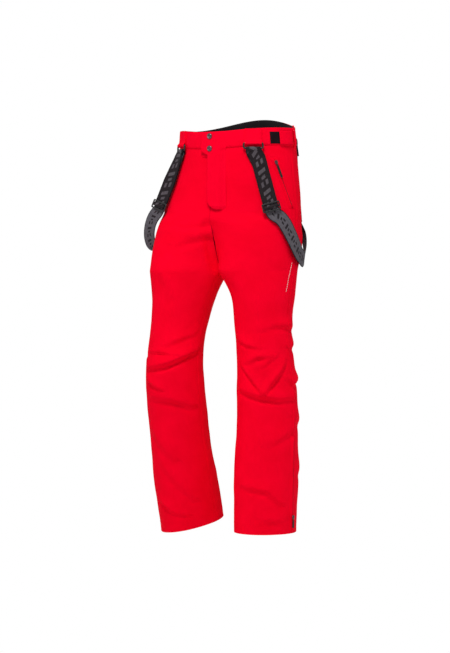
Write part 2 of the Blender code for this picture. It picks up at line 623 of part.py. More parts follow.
clear_scene()
TROUSERS = bpy.data.collections.new("ski_trousers")
bpy.context.scene.collection.children.link(TROUSERS)
make_all()
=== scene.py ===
import json
import math

import bpy
import numpy as np
from mathutils import Matrix, Vector

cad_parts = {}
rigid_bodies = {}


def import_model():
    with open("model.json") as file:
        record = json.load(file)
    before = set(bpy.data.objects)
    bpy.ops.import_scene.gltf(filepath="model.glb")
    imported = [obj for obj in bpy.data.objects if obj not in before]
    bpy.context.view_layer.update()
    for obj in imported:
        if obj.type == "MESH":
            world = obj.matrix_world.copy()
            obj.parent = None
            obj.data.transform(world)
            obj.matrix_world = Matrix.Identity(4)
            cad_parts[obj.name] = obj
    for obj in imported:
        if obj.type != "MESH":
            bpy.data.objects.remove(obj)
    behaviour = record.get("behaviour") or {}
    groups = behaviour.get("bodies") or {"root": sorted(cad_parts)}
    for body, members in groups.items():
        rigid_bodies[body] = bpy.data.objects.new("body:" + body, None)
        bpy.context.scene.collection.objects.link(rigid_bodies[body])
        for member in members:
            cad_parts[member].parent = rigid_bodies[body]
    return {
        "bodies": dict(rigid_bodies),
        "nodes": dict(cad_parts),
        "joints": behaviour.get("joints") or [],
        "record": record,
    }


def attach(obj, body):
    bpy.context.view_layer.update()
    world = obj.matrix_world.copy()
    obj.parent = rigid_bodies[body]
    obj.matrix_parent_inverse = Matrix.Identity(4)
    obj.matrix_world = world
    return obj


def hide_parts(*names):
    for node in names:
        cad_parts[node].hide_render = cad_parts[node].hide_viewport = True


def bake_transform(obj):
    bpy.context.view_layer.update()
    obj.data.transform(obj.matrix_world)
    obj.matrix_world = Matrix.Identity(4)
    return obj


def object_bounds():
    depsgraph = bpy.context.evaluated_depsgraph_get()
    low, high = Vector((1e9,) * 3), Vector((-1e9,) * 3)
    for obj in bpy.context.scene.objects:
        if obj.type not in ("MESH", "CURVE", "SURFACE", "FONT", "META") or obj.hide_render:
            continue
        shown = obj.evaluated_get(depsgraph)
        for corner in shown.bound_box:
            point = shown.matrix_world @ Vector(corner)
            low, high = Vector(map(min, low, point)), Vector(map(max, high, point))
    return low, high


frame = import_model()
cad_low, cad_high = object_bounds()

# Studio: a plain white sweep under a large soft lamp in front and above, with a weaker lamp on each side, as
# for catalogue pictures of clothing. The camera stands level, a little to the wearer's left.
scene = bpy.context.scene
scene.view_settings.view_transform = "Standard"
CAMERA_TURN, CAMERA_RISE = math.radians(35), math.asin(0.185 / 5.5)
to_right = Vector((math.cos(CAMERA_TURN), math.sin(CAMERA_TURN), 0))
backward = Vector((math.sin(CAMERA_TURN) * math.cos(CAMERA_RISE),
                   -math.cos(CAMERA_TURN) * math.cos(CAMERA_RISE), math.sin(CAMERA_RISE)))
looked_at = Vector((0, 0, -0.515)) - to_right * 0.0325
camera = bpy.data.objects.new("camera", bpy.data.cameras.new("camera"))
camera.data.lens, camera.data.sensor_width = 116.6, 36
camera.location = looked_at + backward * 5.5
camera.rotation_euler = (-backward).to_track_quat("-Z", "Y").to_euler()
scene.collection.objects.link(camera)
scene.camera = camera


def lamp(name, right, up, back, size, power):
    """A soft square lamp, right, up and back from the middle of the trousers as the camera sees it."""
    light = bpy.data.lights.new(name, "AREA")
    light.shape, light.size, light.energy = "SQUARE", size, power
    obj = bpy.data.objects.new(name, light)
    middle = Vector((0, 0, -0.5))
    level_back = Vector((backward.x, backward.y, 0)).normalized()
    obj.location = middle + to_right * right + level_back * back + Vector((0, 0, up))
    obj.rotation_euler = (obj.location - middle).to_track_quat("Z", "Y").to_euler()
    scene.collection.objects.link(obj)


lamp("key_lamp", -0.4, 2.7, 1.9, 0.8, 69)
lamp("left_lamp", -2.4, 0.3, 0.6, 0.8, 7)
lamp("right_lamp", 2.4, 0.3, 0.5, 0.8, 8)


def shown_white(tree, felt, white, surface):
    """The camera sees the white shader; everything else is lit by the felt one."""
    path = tree.nodes.new("ShaderNodeLightPath")
    choice = tree.nodes.new("ShaderNodeMixShader")
    tree.links.new(path.outputs["Is Camera Ray"], choice.inputs["Fac"])
    tree.links.new(felt.outputs[0], choice.inputs[1])
    tree.links.new(white.outputs[0], choice.inputs[2])
    tree.links.new(choice.outputs["Shader"], surface)


def new_finish(name):
    """A new finish with its node tree and its main shader."""
    material = bpy.data.materials.new(name)
    material.use_nodes = True
    return material, material.node_tree, material.node_tree.nodes["Principled BSDF"]


world = bpy.data.worlds.new("white_room")
scene.world = world
world.use_nodes = True
tree = world.node_tree
seen, felt = tree.nodes["Background"], tree.nodes.new("ShaderNodeBackground")
for background, strength in ((seen, 1.0), (felt, 0.34)):
    background.inputs["Color"].default_value = (1, 1, 1, 1)
    background.inputs["Strength"].default_value = strength
shown_white(tree, felt, seen, tree.nodes["World Output"].inputs["Surface"])

floor_mesh = bpy.data.meshes.new("floor")
floor_angles = [math.radians(a) for a in range(0, 360, 10)]
floor_rim = [(4 * math.cos(a), 4 * math.sin(a), cad_low[2] - 0.004) for a in floor_angles]
floor_mesh.from_pydata(floor_rim, [], [tuple(range(len(floor_rim)))])
floor = bpy.data.objects.new("floor", floor_mesh)
scene.collection.objects.link(floor)
pale, tree, shader = new_finish("pale_floor")
glow = tree.nodes.new("ShaderNodeEmission")
shader.inputs["Base Color"].default_value = (0.9, 0.9, 0.9, 1)
shader.inputs["Roughness"].default_value = 1.0
glow.inputs["Color"].default_value = (1, 1, 1, 1)
shown_white(tree, shader, glow, tree.nodes["Material Output"].inputs["Surface"])
floor_mesh.materials.append(pale)

# Shell: hips and legs in one weight of red polyester twill, laminated and lined in black, cut in front and
# back halves and sewn at the inseams, outer seams and middle seams. A place on it is given by a side, a turn
# round that side's leg (0 inseam, 90 front, 180 outer seam, 270 back) and a height.
LEFT, RIGHT = 1, -1
SIDE_NAMES = {LEFT: "left", RIGHT: "right"}
GAP, SHELL_THICKNESS = 0.0003, 0.0024
# The waist's top edge: its level in front, its rise from there to the sides and on to the middle of the back.
WAIST_FRONT, WAIST_SIDE_RISE, WAIST_BACK_RISE = -0.016, 0.0105, 0.031
WAIST_RISE_FADES = -0.25
BAND_HEIGHT, CROTCH_Z, LEG_STARTS_Z = 0.046, -0.37, -0.500
HEM_Z = {LEFT: -1.037, RIGHT: -1.031}
HEM_TILT, HEM_TILT_STARTS = {LEFT: (0.0, 0.0), RIGHT: (0.14, 0.20)}, -0.72
HIPS = (
    (0.040, 0.158, 0.117, 0.112, 0.000, 0.00),
    (0.000, 0.159, 0.118, 0.113, 0.000, 0.00),
    (-0.050, 0.164, 0.118, 0.119, 0.000, 0.00),
    (-0.120, 0.173, 0.109, 0.126, -0.010, 0.04),
    (-0.200, 0.180, 0.096, 0.128, -0.026, 0.14),
    (-0.280, 0.182, 0.088, 0.120, -0.044, 0.25),
    (-0.370, 0.172, 0.086, 0.092, -0.064, 0.36),
)
FRONT_SPLIT = ((0.04, 0), (-0.22, 0), (-0.25, 0.40), (-0.28, 0.66), (-0.31, 0.83), (-0.34, 0.94), (-0.37, 1))
BACK_SPLIT = ((0.04, 0), (-0.25, 0), (-0.28, 0.35), (-0.31, 0.65), (-0.34, 0.88), (-0.37, 1))
LEGS = {
    LEFT: (
        (-0.370, 0.086, -0.033, 0.086, 0.086, 0.092),
        (-0.430, 0.099, -0.030, 0.073, 0.080, 0.084),
        (-0.500, 0.101, -0.030, 0.068, 0.074, 0.077),
        (-0.565, 0.103, -0.028, 0.070, 0.076, 0.076),
        (-0.640, 0.107, -0.023, 0.075, 0.081, 0.079),
        (-0.740, 0.109, -0.023, 0.077, 0.082, 0.082),
        (-0.830, 0.110, -0.027, 0.080, 0.084, 0.085),
        (-0.920, 0.110, -0.031, 0.081, 0.086, 0.086),
        (-1.060, 0.110, -0.035, 0.078, 0.084, 0.084),
    ),
    RIGHT: (
        (-0.370, 0.086, -0.095, 0.086, 0.086, 0.092),
        (-0.430, 0.096, -0.101, 0.075, 0.080, 0.084),
        (-0.500, 0.105, -0.110, 0.068, 0.075, 0.076),
        (-0.565, 0.109, -0.119, 0.069, 0.076, 0.074),
        (-0.640, 0.111, -0.123, 0.074, 0.081, 0.077),
        (-0.740, 0.114, -0.107, 0.076, 0.079, 0.081),
        (-0.830, 0.117, -0.090, 0.077, 0.079, 0.083),
        (-0.920, 0.117, -0.067, 0.080, 0.083, 0.085),
        (-1.060, 0.118, -0.030, 0.081, 0.086, 0.087),
    ),
}
LEG_TWIST = ((-0.37, 0.36), (-0.43, 0.22), (-0.50, 0.10), (-0.565, 0.0), (-1.1, 0.0))


def along(stations, heights):
    """The station values at each height, by a smooth curve through all of them."""
    s = np.array(stations, float)
    z = np.clip(np.asarray(heights, float), s[-1, 0], s[0, 0])
    i = np.searchsorted(-s[1:-1, 0], -z, side="left")
    before, here, there = s[np.maximum(i - 1, 0)], s[i], s[i + 1]
    after = s[np.minimum(i + 2, len(s) - 1)]
    span = (there - here)[..., :1]
    t = (z[..., None] - here[..., :1]) / span
    leave = (there - before) / (there - before)[..., :1] * span
    arrive = (after - here) / (after - here)[..., :1] * span
    values = ((2 * t**3 - 3 * t**2 + 1) * here + (t**3 - 2 * t**2 + t) * leave
              + (3 * t**2 - 2 * t**3) * there + (t**3 - t**2) * arrive)
    return np.moveaxis(values, -1, 0)[1:]


def section(side, z):
    """Middle x and half width in front and behind, then front depth, back depth, middle y and twist."""
    middle, leg_y, half, leg_front, leg_back = along(LEGS[side], z)
    leg_twist = along(LEG_TWIST, z)[0]
    leg = (middle, half, middle, half, leg_front, leg_back, leg_y - side * leg_twist * middle, leg_twist)
    reach, front, back, y, twist = along(HIPS, z)
    shape = []
    for split in (FRONT_SPLIT, BACK_SPLIT):
        half = reach / (1 + np.clip(along(split, z)[0], 0, 1))
        shape += [reach - half, half]
    return [np.where(z < CROTCH_Z, a, b) for a, b in zip(leg, (*shape, front, back, y, twist))]


def seam_turns(side, z):
    """The turns at the front middle seam and the back one; below the crotch both are the inseam."""
    front_x, front_half, back_x, back_half = section(side, z)[:4]
    front = np.degrees(np.arccos(np.clip(front_x / front_half, -1, 1)))
    back = 360 - np.degrees(np.arccos(np.clip(back_x / back_half, -1, 1)))
    return np.where(z < CROTCH_Z, 0.0, front), np.where(z < CROTCH_Z, 360.0, back)


def pattern(side, turn, z):
    """A point of the shell before any fold is laid in it."""
    turn, z = np.broadcast_arrays(np.asarray(turn, float), np.asarray(z, float))
    front_x, front_half, back_x, back_half, front, back, y, twist = section(side, z)
    angle = np.radians(turn)
    x = np.where(turn <= 180, front_x - front_half * np.cos(angle), back_x - back_half * np.cos(angle))
    y = y + side * twist * x - np.where(np.sin(angle) > 0, front, back) * np.sin(angle)
    behind = np.clip((1 - np.sin(angle)) / 2, 0, 1)
    rise = WAIST_FRONT + WAIST_SIDE_RISE * (1 - np.exp(-behind / 0.12)) + WAIST_BACK_RISE * behind**6
    rise = rise * np.clip(np.where(z < 0, 1 - z / WAIST_RISE_FADES, 1), 0, 1)
    middle, leg_y = along(LEGS[side], z)[:2]
    share = np.clip((z - HEM_TILT_STARTS) / (HEM_Z[side] - HEM_TILT_STARTS), 0, None)
    tilt = share * (HEM_TILT[side][0] * (middle - x) + HEM_TILT[side][1] * (y - leg_y))
    return np.stack([side * (x + GAP), y, z + rise + tilt], -1)


def unit(v):
    return v / np.maximum(np.linalg.norm(v, axis=-1, keepdims=True), 1e-12)


def pattern_normal(side, turn, z):
    turn, z = np.asarray(turn, float), np.asarray(z, float)
    across = pattern(side, turn + 0.5, z) - pattern(side, turn - 0.5, z)
    down = pattern(side, turn, z - 0.002) - pattern(side, turn, z + 0.002)
    return unit(np.cross(down, across)) * side


# Folds in the shell where it hangs, bends at the knee and stacks above the boot. Each runs along a few places
# (turn, height, lift in mm), with a gentle face on the left of its run and a steep one on the right, whose
# widths in mm follow. Every lift is then made deeper by FOLD_DEPTH.
FOLD_DEPTH = 2.0
FOLDS = {
    RIGHT: (
        (((118, -0.618, 2.0), (90, -0.612, 4.5), (68, -0.606, 6.0), (36, -0.586, 5.5), (5, -0.572, 2.0)),
         17, 6),
        (((114, -0.577, 1.2), (86, -0.576, 2.6), (54, -0.583, 1.5)), 12, 4),
        (((76, -0.558, 0.8), (46, -0.541, 1.8), (16, -0.528, 1.0)), 14, 6),
        (((120, -0.648, 1.5), (104, -0.655, 3.0), (82, -0.670, 1.5)), 12, 5),
        (((108, -0.690, 1.2), (62, -0.695, 3.0), (20, -0.712, 1.5)), 22, 9),
        (((114, -0.768, 0.8), (92, -0.806, 1.8), (66, -0.842, 1.0)), 22, 12),
        (((92, -0.860, 0.8), (58, -0.921, 1.6), (40, -0.950, 0.8)), 20, 10),
        (((114, -0.946, 1.4), (96, -0.962, 3.2), (80, -0.980, 1.4), (58, -0.992, 0.8)), 14, 6),
        (((104, -0.366, 0.8), (92, -0.396, 1.8), (82, -0.424, 0.8)), 24, 14),
        (((96, -0.300, 0.8), (74, -0.284, 2.2), (50, -0.274, 1.6)), 16, 9),
        (((68, -0.258, -1.2), (48, -0.298, -2.8), (33, -0.335, -3.2), (20, -0.362, -1.4)), 20, 11),
        (((56, -0.268, 0.8), (84, -0.272, 1.8), (122, -0.262, 0.8)), 13, 7),
        (((150, -0.600, 1.0), (176, -0.620, 3.0), (200, -0.600, 3.0), (236, -0.612, 3.5), (290, -0.600, 1.5)),
         16, 7),
        (((190, -0.575, 1.0), (236, -0.570, 2.5), (280, -0.578, 1.0)), 14, 6),
        (((170, -0.660, 1.0), (220, -0.650, 3.0), (280, -0.662, 1.0)), 18, 8),
        (((200, -0.800, 0.8), (240, -0.820, 1.8), (290, -0.805, 0.8)), 24, 12),
        (((200, -0.950, 0.8), (240, -0.965, 2.5), (290, -0.955, 0.8)), 16, 8),
    ),
    LEFT: (
        (((64, -0.262, -0.6), (44, -0.300, -1.6), (30, -0.335, -1.8), (20, -0.360, -0.8)), 16, 10),
        (((66, -0.546, 1.0), (90, -0.556, 2.4), (114, -0.563, 1.0)), 14, 5),
        (((90, -0.600, 1.2), (112, -0.586, 3.0), (134, -0.585, 1.4)), 13, 5),
        (((118, -0.612, 0.8), (134, -0.596, 1.8), (150, -0.584, 0.8)), 10, 4),
        (((70, -0.606, 1.2), (92, -0.634, 3.2), (108, -0.660, 3.6), (120, -0.682, 1.5)), 13, 5),
        (((118, -0.682, 1.5), (130, -0.660, 4.0), (146, -0.634, 4.0), (166, -0.604, 1.5)), 12, 5),
        (((62, -0.668, 1.2), (92, -0.678, 3.6), (118, -0.686, 4.2), (146, -0.691, 3.6), (184, -0.690, 1.5)),
         18, 7),
        (((118, -0.516, 0.6), (148, -0.505, 1.6), (188, -0.507, 2.6), (214, -0.512, 1.0)), 16, 7),
        (((126, -0.806, 0.8), (152, -0.788, 2.0), (182, -0.766, 1.2)), 20, 9),
        (((74, -0.912, 0.8), (98, -0.916, 2.4), (128, -0.924, 2.8), (152, -0.954, 1.2)), 18, 8),
        (((120, -0.996, 0.6), (142, -1.000, 1.4), (166, -0.994, 0.6)), 16, 8),
        (((168, -0.640, 1.0), (190, -0.655, 3.0), (230, -0.640, 3.0), (282, -0.650, 1.0)), 16, 7),
        (((186, -0.560, 1.0), (230, -0.556, 2.8), (280, -0.566, 1.0)), 18, 8),
        (((186, -0.740, 0.8), (230, -0.752, 2.0), (280, -0.744, 0.8)), 24, 12),
        (((186, -0.880, 0.8), (230, -0.870, 2.0), (280, -0.884, 0.8)), 24, 12),
        (((114, -0.440, 0.6), (114, -0.500, 1.4), (114, -0.556, 0.6)), 24, 16),
    ),
}


def fold_lift(side, turn, z):
    """How far the folds lift the shell at each place."""
    at, normal = pattern(side, turn, z), pattern_normal(side, turn, z)
    lift = np.zeros(turn.shape)
    for run, gentle, steep in FOLDS[side]:
        run = np.array(run, float)
        pace = np.linspace(0, len(run) - 1, 14 * (len(run) - 1) + 1)
        run_turn, run_z, run_lift = (np.interp(pace, np.arange(len(run)), run[:, c]) for c in range(3))
        line = pattern(side, run_turn, run_z)
        forward = unit(np.gradient(line, axis=0))
        rows = np.abs(z[:, 0] - run_z.mean()) < np.ptp(run_z) / 2 + 0.09
        offset = at[rows][:, :, None] - line
        nearest = (offset**2).sum(-1).argmin(-1)
        offset = np.take_along_axis(offset, nearest[..., None, None], 2)[:, :, 0]
        left = (offset * np.cross(normal[rows], forward[nearest])).sum(-1)
        reach = np.linalg.norm(offset, axis=-1) * 1000
        face = np.exp(-(reach / np.where(left > 0, gentle, steep)) ** 2)
        dip = np.where(left > 0, 0, np.exp(-((reach - 1.7 * steep) / (0.9 * steep)) ** 2))
        lift[rows] += FOLD_DEPTH * run_lift[nearest] / 1000 * (face - 0.5 * dip)
    return lift


def drift(side, turn, z):
    """The slow unevenness of cloth that has been worn and hung."""
    a = np.radians(turn)
    slow = (np.sin(3 * a + 21 * z + side) * np.sin(17 * z + 0.6 * side) * 0.9
            + np.sin(2 * a - 33 * z + 2.1 * side) * 0.6 + np.sin(5 * a + 47 * z) * np.sin(29 * z + a) * 0.45)
    fine = np.sin(9 * a + 71 * z + 1.3 * side) * np.sin(53 * z - 4 * a) * 0.25
    return (slow * np.clip((-0.09 - z) / 0.14, 0, 1) + fine * np.clip((-0.15 - z) / 0.1, 0, 1)) / 1000


def shares_round():
    """Where the columns of the shell's mesh stand, from the front middle seam (0) to the back one (1)."""
    beside_seam = np.array([0, 0.0012, 0.0030, 0.0065])
    plain = np.linspace(0.012, 0.488, 46)
    half = np.concatenate([beside_seam, plain, 0.5 - beside_seam[::-1]])
    return np.concatenate([half, 0.5 + half[1:]])


SHARES = shares_round()
COLUMNS = len(SHARES)


def turns_of(side, z, shares):
    first, last = seam_turns(side, z)
    return np.where(shares <= 0.5, first + (180 - first) * 2 * shares, 180 + (last - 180) * (2 * shares - 1))


def share_of(side, turn, z):
    first, last = seam_turns(side, z)
    in_front, behind = 0.5 * (turn - first) / (180 - first), 0.5 + 0.5 * (turn - 180) / (last - 180)
    return np.where(turn <= 180, in_front, behind)


# The finished shell of each side: its rows' heights, its turns and points, outward directions, and how far
# each point has moved from the pattern.
ROW_HEIGHTS, TURNS, SHELL, SHELL_NORMAL, MOVED = {}, {}, {}, {}, {}
for side in (LEFT, RIGHT):
    z = np.concatenate([np.linspace(-0.036, LEG_STARTS_Z, 120),
                        np.linspace(LEG_STARTS_Z, HEM_Z[side], 136)[1:]])
    ROW_HEIGHTS[side] = z
    turn = TURNS[side] = np.stack([turns_of(side, height, SHARES) for height in z])
    tall = np.repeat(z[:, None], COLUMNS, 1)
    lift = fold_lift(side, turn, tall) + drift(side, turn, tall)
    seam = np.abs(turn - 180) * 0.0013
    inseam = np.minimum(turn, 360 - turn) * 0.0013
    lift -= 0.0011 * np.exp(-(seam / 0.0012) ** 2) - 0.0006 * np.exp(-((seam - 0.004) / 0.0025) ** 2)
    lift -= np.where(tall < CROTCH_Z, 0.0010 * np.exp(-(inseam / 0.0012) ** 2), 0)
    lift *= np.clip((-0.05 - tall) / 0.03, 0, 1)
    plain = pattern(side, turn, tall)
    wide = SHELL[side] = plain + pattern_normal(side, turn, tall) * lift[..., None]
    MOVED[side] = wide - plain
    closed = (z < CROTCH_Z)[:, None, None]
    last_step = np.where(closed, wide[:, [-2]], wide[:, [0]] * 2 - wide[:, [1]])
    first_step = np.where(closed, wide[:, [1]], wide[:, [-1]] * 2 - wide[:, [-2]])
    padded = np.concatenate([last_step, wide, first_step], 1)
    across = padded[:, 2:] - padded[:, :-2]
    SHELL_NORMAL[side] = unit(np.cross(-np.gradient(wide, axis=0), across)) * -side


def on_shell(side, turn, z, out=0.0):
    """Points and outward directions on the finished shell, folds included, lifted by out."""
    turn, z = np.broadcast_arrays(np.asarray(turn, float), np.asarray(z, float))
    heights = ROW_HEIGHTS[side]
    row = np.interp(-z, -heights, np.arange(len(heights)))
    column = np.interp(share_of(side, turn, z), SHARES, np.arange(COLUMNS))
    r, c = np.clip(row.astype(int), 0, len(heights) - 2), np.clip(column.astype(int), 0, COLUMNS - 2)
    down, over = (row - r)[..., None], (column - c)[..., None]

    def read(field):
        return ((field[r, c] * (1 - over) + field[r, c + 1] * over) * (1 - down)
                + (field[r + 1, c] * (1 - over) + field[r + 1, c + 1] * over) * down)
    normal = np.where(z[..., None] > -0.06, pattern_normal(side, turn, z), unit(read(SHELL_NORMAL[side])))
    return pattern(side, turn, z) + read(MOVED[side]) + normal * np.asarray(out)[..., None], normal


def front_turn(side, x, z):
    """The turn on the front where the shell is at that x."""
    middle, half = section(side, z)[:2]
    return np.degrees(np.arccos(np.clip((middle - side * x) / half, -1, 1)))


def on_front(x, z, out=0.0):
    """As on_shell, for a place on the front given by its x."""
    x, z, out = np.broadcast_arrays(np.asarray(x, float), np.asarray(z, float), np.asarray(out, float))
    left, right = (on_shell(side, front_turn(side, x, z), z, out) for side in (LEFT, RIGHT))
    return [np.where(x[..., None] >= 0, a, b) for a, b in zip(left, right)]


def shader_group(name, inputs, outputs):
    group = bpy.data.node_groups.new(name, "ShaderNodeTree")
    for label, kind, value in inputs:
        socket = group.interface.new_socket(label, in_out="INPUT", socket_type=kind)
        if value is not None:
            socket.default_value = value
    for label, kind in outputs:
        group.interface.new_socket(label, in_out="OUTPUT", socket_type=kind)
    return group, group.nodes.new("NodeGroupInput"), group.nodes.new("NodeGroupOutput")


def wire(tree, kind, settings=(), **inputs):
    """A node with its settings made and its inputs set or linked. An input is given by its name, with _ for
    each space, or by i and its number."""
    node = tree.nodes.new("ShaderNode" + kind)
    for name, value in settings:
        setattr(node, name, value)
    for name, value in inputs.items():
        label = name.replace("_", " ")
        numbered = label[0] == "i" and label[1:].isdigit()
        socket = node.inputs[int(label[1:]) if numbered else label]
        if isinstance(value, bpy.types.NodeSocket):
            tree.links.new(value, socket)
        else:
            socket.default_value = value
    return node


def sums(tree, operation, a, b=0.0, c=0.0):
    return wire(tree, "Math", (("operation", operation),), i0=a, i1=b, i2=c).outputs[0]


def mixed(tree, share, first, second):
    """The colour that runs from first to second as share goes from 0 to 1."""
    return wire(tree, "Mix", (("data_type", "RGBA"),), i0=share, i6=first, i7=second).outputs[2]


# Weave: fine diagonal twill ribs with uneven yarn, and slow mottling where dye and wear differ.
weave, given, put = shader_group(
    "weave",
    (("Place", "NodeSocketVector", None), ("Ribs per metre", "NodeSocketFloat", 900.0),
     ("Slant", "NodeSocketFloat", 1.0)),
    (("Height", "NodeSocketFloat"), ("Mottle", "NodeSocketFloat")))
split = wire(weave, "SeparateXYZ", i0=given.outputs["Place"])
slanted = sums(weave, "MULTIPLY_ADD", split.outputs["X"], given.outputs["Slant"], split.outputs["Y"])
ribs_passed = sums(weave, "MULTIPLY", slanted, given.outputs["Ribs per metre"])
rib = sums(weave, "SINE", sums(weave, "MULTIPLY", ribs_passed, 2 * math.pi))
yarn = wire(weave, "TexNoise", Vector=given.outputs["Place"], Scale=1400.0, Detail=2.0)
cloud = wire(weave, "TexNoise", Vector=given.outputs["Place"], Scale=22.0, Detail=4.0, Roughness=0.6)
weave.links.new(sums(weave, "MULTIPLY_ADD", rib, 0.35, yarn.outputs["Fac"]), put.inputs["Height"])
weave.links.new(cloud.outputs["Fac"], put.inputs["Mottle"])


def woven(name, colour, worn, roughness, ribs, bump, slant=1.0, sheen=0.0, sheen_colour=(1, 1, 1, 1)):
    """A cloth finish: its colour runs to the worn colour where the cloth is mottled."""
    material, tree, shader = new_finish(name)
    shader.inputs["Specular IOR Level"].default_value = 0.12 if sheen else 0.01
    shader.inputs["Sheen Weight"].default_value = sheen
    shader.inputs["Sheen Roughness"].default_value = 0.45
    shader.inputs["Sheen Tint"].default_value = sheen_colour
    place = wire(tree, "TexCoord").outputs["UV"]
    threads = wire(tree, "Group", (("node_tree", weave),), Place=place, Ribs_per_metre=ribs, Slant=slant)
    tone = wire(tree, "MapRange", Value=threads.outputs["Mottle"], From_Min=0.35, From_Max=0.68)
    cloth_colour = mixed(tree, tone.outputs["Result"], (*colour, 1), (*worn, 1))
    tree.links.new(cloth_colour, shader.inputs["Base Color"])
    rough = wire(tree, "MapRange", Value=threads.outputs["Mottle"], To_Min=roughness - 0.05,
                 To_Max=roughness + 0.05)
    tree.links.new(rough.outputs["Result"], shader.inputs["Roughness"])
    ridges = wire(tree, "Bump", Height=threads.outputs["Height"], Strength=0.5, Distance=bump)
    tree.links.new(ridges.outputs["Normal"], shader.inputs["Normal"])
    return material


shell_red = woven("shell_red_twill", (0.985, 0.0002, 0.0205), (0.930, 0.0002, 0.0170), 0.66, 1100.0, 0.00006)
lining_black = woven("lining_black", (0.0085, 0.0055, 0.0075), (0.013, 0.009, 0.012), 0.75, 700.0, 0.0001,
                     slant=0.0)


def mesh_object(name, points, faces, materials, face_materials=None, uv=None, normals=None):
    mesh = bpy.data.meshes.new(name)
    mesh.from_pydata(points.reshape(-1, 3).tolist(), [], list(faces))
    for material in materials:
        mesh.materials.append(material)
    if face_materials is not None:
        mesh.polygons.foreach_set("material_index", face_materials.astype(np.int32))
    mesh.shade_smooth()
    if uv is not None:
        corners = np.empty(len(mesh.loops), np.int32)
        mesh.loops.foreach_get("vertex_index", corners)
        layer = mesh.uv_layers.new(name="metres")
        layer.data.foreach_set("uv", uv.reshape(-1, 2)[corners].astype(np.float32).ravel())
    if normals is not None:
        mesh.normals_split_custom_set_from_vertices(normals.reshape(-1, 3).tolist())
    obj = bpy.data.objects.new(name, mesh)
    scene.collection.objects.link(obj)
    return obj


def quads_of(index):
    """The four-sided faces between neighbours in a grid of point numbers."""
    return np.stack([index[:-1, :-1], index[1:, :-1], index[1:, 1:], index[:-1, 1:]], -1).reshape(-1, 4)


THIN_EDGE = 0.35


def slab(name, middles, normals, thickness, materials, ring=False, along_start=0.0):
    """A flat piece with soft edges: a grid of middle points given thickness along its normals. The first
    material is on the outer face and its edges, the second, if given, on the inner face."""
    rows, columns = middles.shape[:2]
    edge = np.ones((rows, columns))
    edge[[0, -1]] = THIN_EDGE
    if not ring:
        edge[:, [0, -1]] = THIN_EDGE
    half = (edge * thickness / 2)[..., None]
    points = np.concatenate([middles + normals * half, middles - normals * half])
    index = np.arange(rows * columns).reshape(rows, columns)
    if ring:
        index = np.concatenate([index, index[:, :1]], 1)
    top = quads_of(index)
    walls = [np.stack([index[-1, :-1], index[-1, 1:]], -1), np.stack([index[0, 1:], index[0, :-1]], -1)]
    if not ring:
        walls += [np.stack([index[:-1, 0], index[1:, 0]], -1), np.stack([index[1:, -1], index[:-1, -1]], -1)]
    walls = np.concatenate(walls)
    below = rows * columns
    walls = np.stack([walls[:, 1], walls[:, 0], walls[:, 0] + below, walls[:, 1] + below], -1)
    faces = np.concatenate([top, top[:, ::-1] + below, walls])
    flat = points.reshape(-1, 3)
    turned_out = np.cross(flat[top[:, 1]] - flat[top[:, 0]], flat[top[:, 3]] - flat[top[:, 0]])
    if (turned_out * normals.reshape(-1, 3)[top[:, 0]]).sum() < 0:
        faces = faces[:, ::-1]
    inner = np.zeros(len(faces), int)
    inner[len(top):2 * len(top)] = min(1, len(materials) - 1)
    step_along = np.linalg.norm(np.diff(middles, axis=0), axis=-1).mean(1)
    step_across = np.linalg.norm(np.diff(middles, axis=1), axis=-1).mean(0)
    v = along_start + np.concatenate([[0], np.cumsum(step_along)])
    u = np.concatenate([[0], np.cumsum(step_across)])
    uv = np.stack(np.meshgrid(u - u[-1] / 2, v), -1)
    return mesh_object(name, points, faces, materials, inner, np.concatenate([uv, uv]))


def edged(first, last, count, margin):
    """Stations from first to last with one more close to each end, for a soft edge."""
    margin = math.copysign(margin, last - first)
    return np.concatenate([[first], np.linspace(first + margin, last - margin, count), [last]])


def distances(points):
    """How far along a line each of its points lies."""
    return np.concatenate([[0], np.cumsum(np.linalg.norm(np.diff(points, axis=0), axis=-1))])


def read_at(where, run, field):
    """The field's values at these distances along a line."""
    return np.stack([np.interp(where, run, field[:, c]) for c in range(3)], -1)


STITCH_PITCH, STITCH_LENGTH, STITCH_WIDTH = 0.0034, 0.0023, 0.0005
SEWN = {}


def sew(seam, points, normals):
    """Lays a row of stitches along a line; every row of one name ends up in one mesh."""
    run = distances(points)
    at = np.arange(STITCH_PITCH / 2, run[-1] - STITCH_PITCH / 2, STITCH_PITCH)
    n = unit(read_at(at, run, normals))
    head, tail = (read_at(at + half, run, points) for half in (-STITCH_LENGTH / 2, STITCH_LENGTH / 2))
    forward = unit(tail - head)
    over, flat = np.cross(forward, n) * STITCH_WIDTH / 2, forward * STITCH_LENGTH * 0.22
    lift, buried = n * STITCH_WIDTH * 0.45, n * STITCH_WIDTH * 0.3
    middle = (head + tail) / 2 + lift
    SEWN.setdefault(seam, []).append(np.stack([
        head - buried, middle - over - flat, middle + over - flat, middle - over + flat,
        middle + over + flat, tail - buried, middle - lift * 1.6], 1))


def stitched(name, seam, material):
    """The stitches laid under one name, as one mesh."""
    points = np.concatenate(SEWN[seam])
    one = np.array([(0, 2, 1, 1), (1, 2, 4, 3), (3, 4, 5, 5), (0, 6, 2, 2), (0, 1, 6, 6), (2, 6, 4, 4),
                    (1, 3, 6, 6), (4, 6, 5, 5), (3, 5, 6, 6)])
    faces = (one + (np.arange(len(points)) * 7)[:, None, None]).reshape(-1, 4)
    return mesh_object(name, points, [tuple(dict.fromkeys(f)) for f in faces.tolist()], [material])


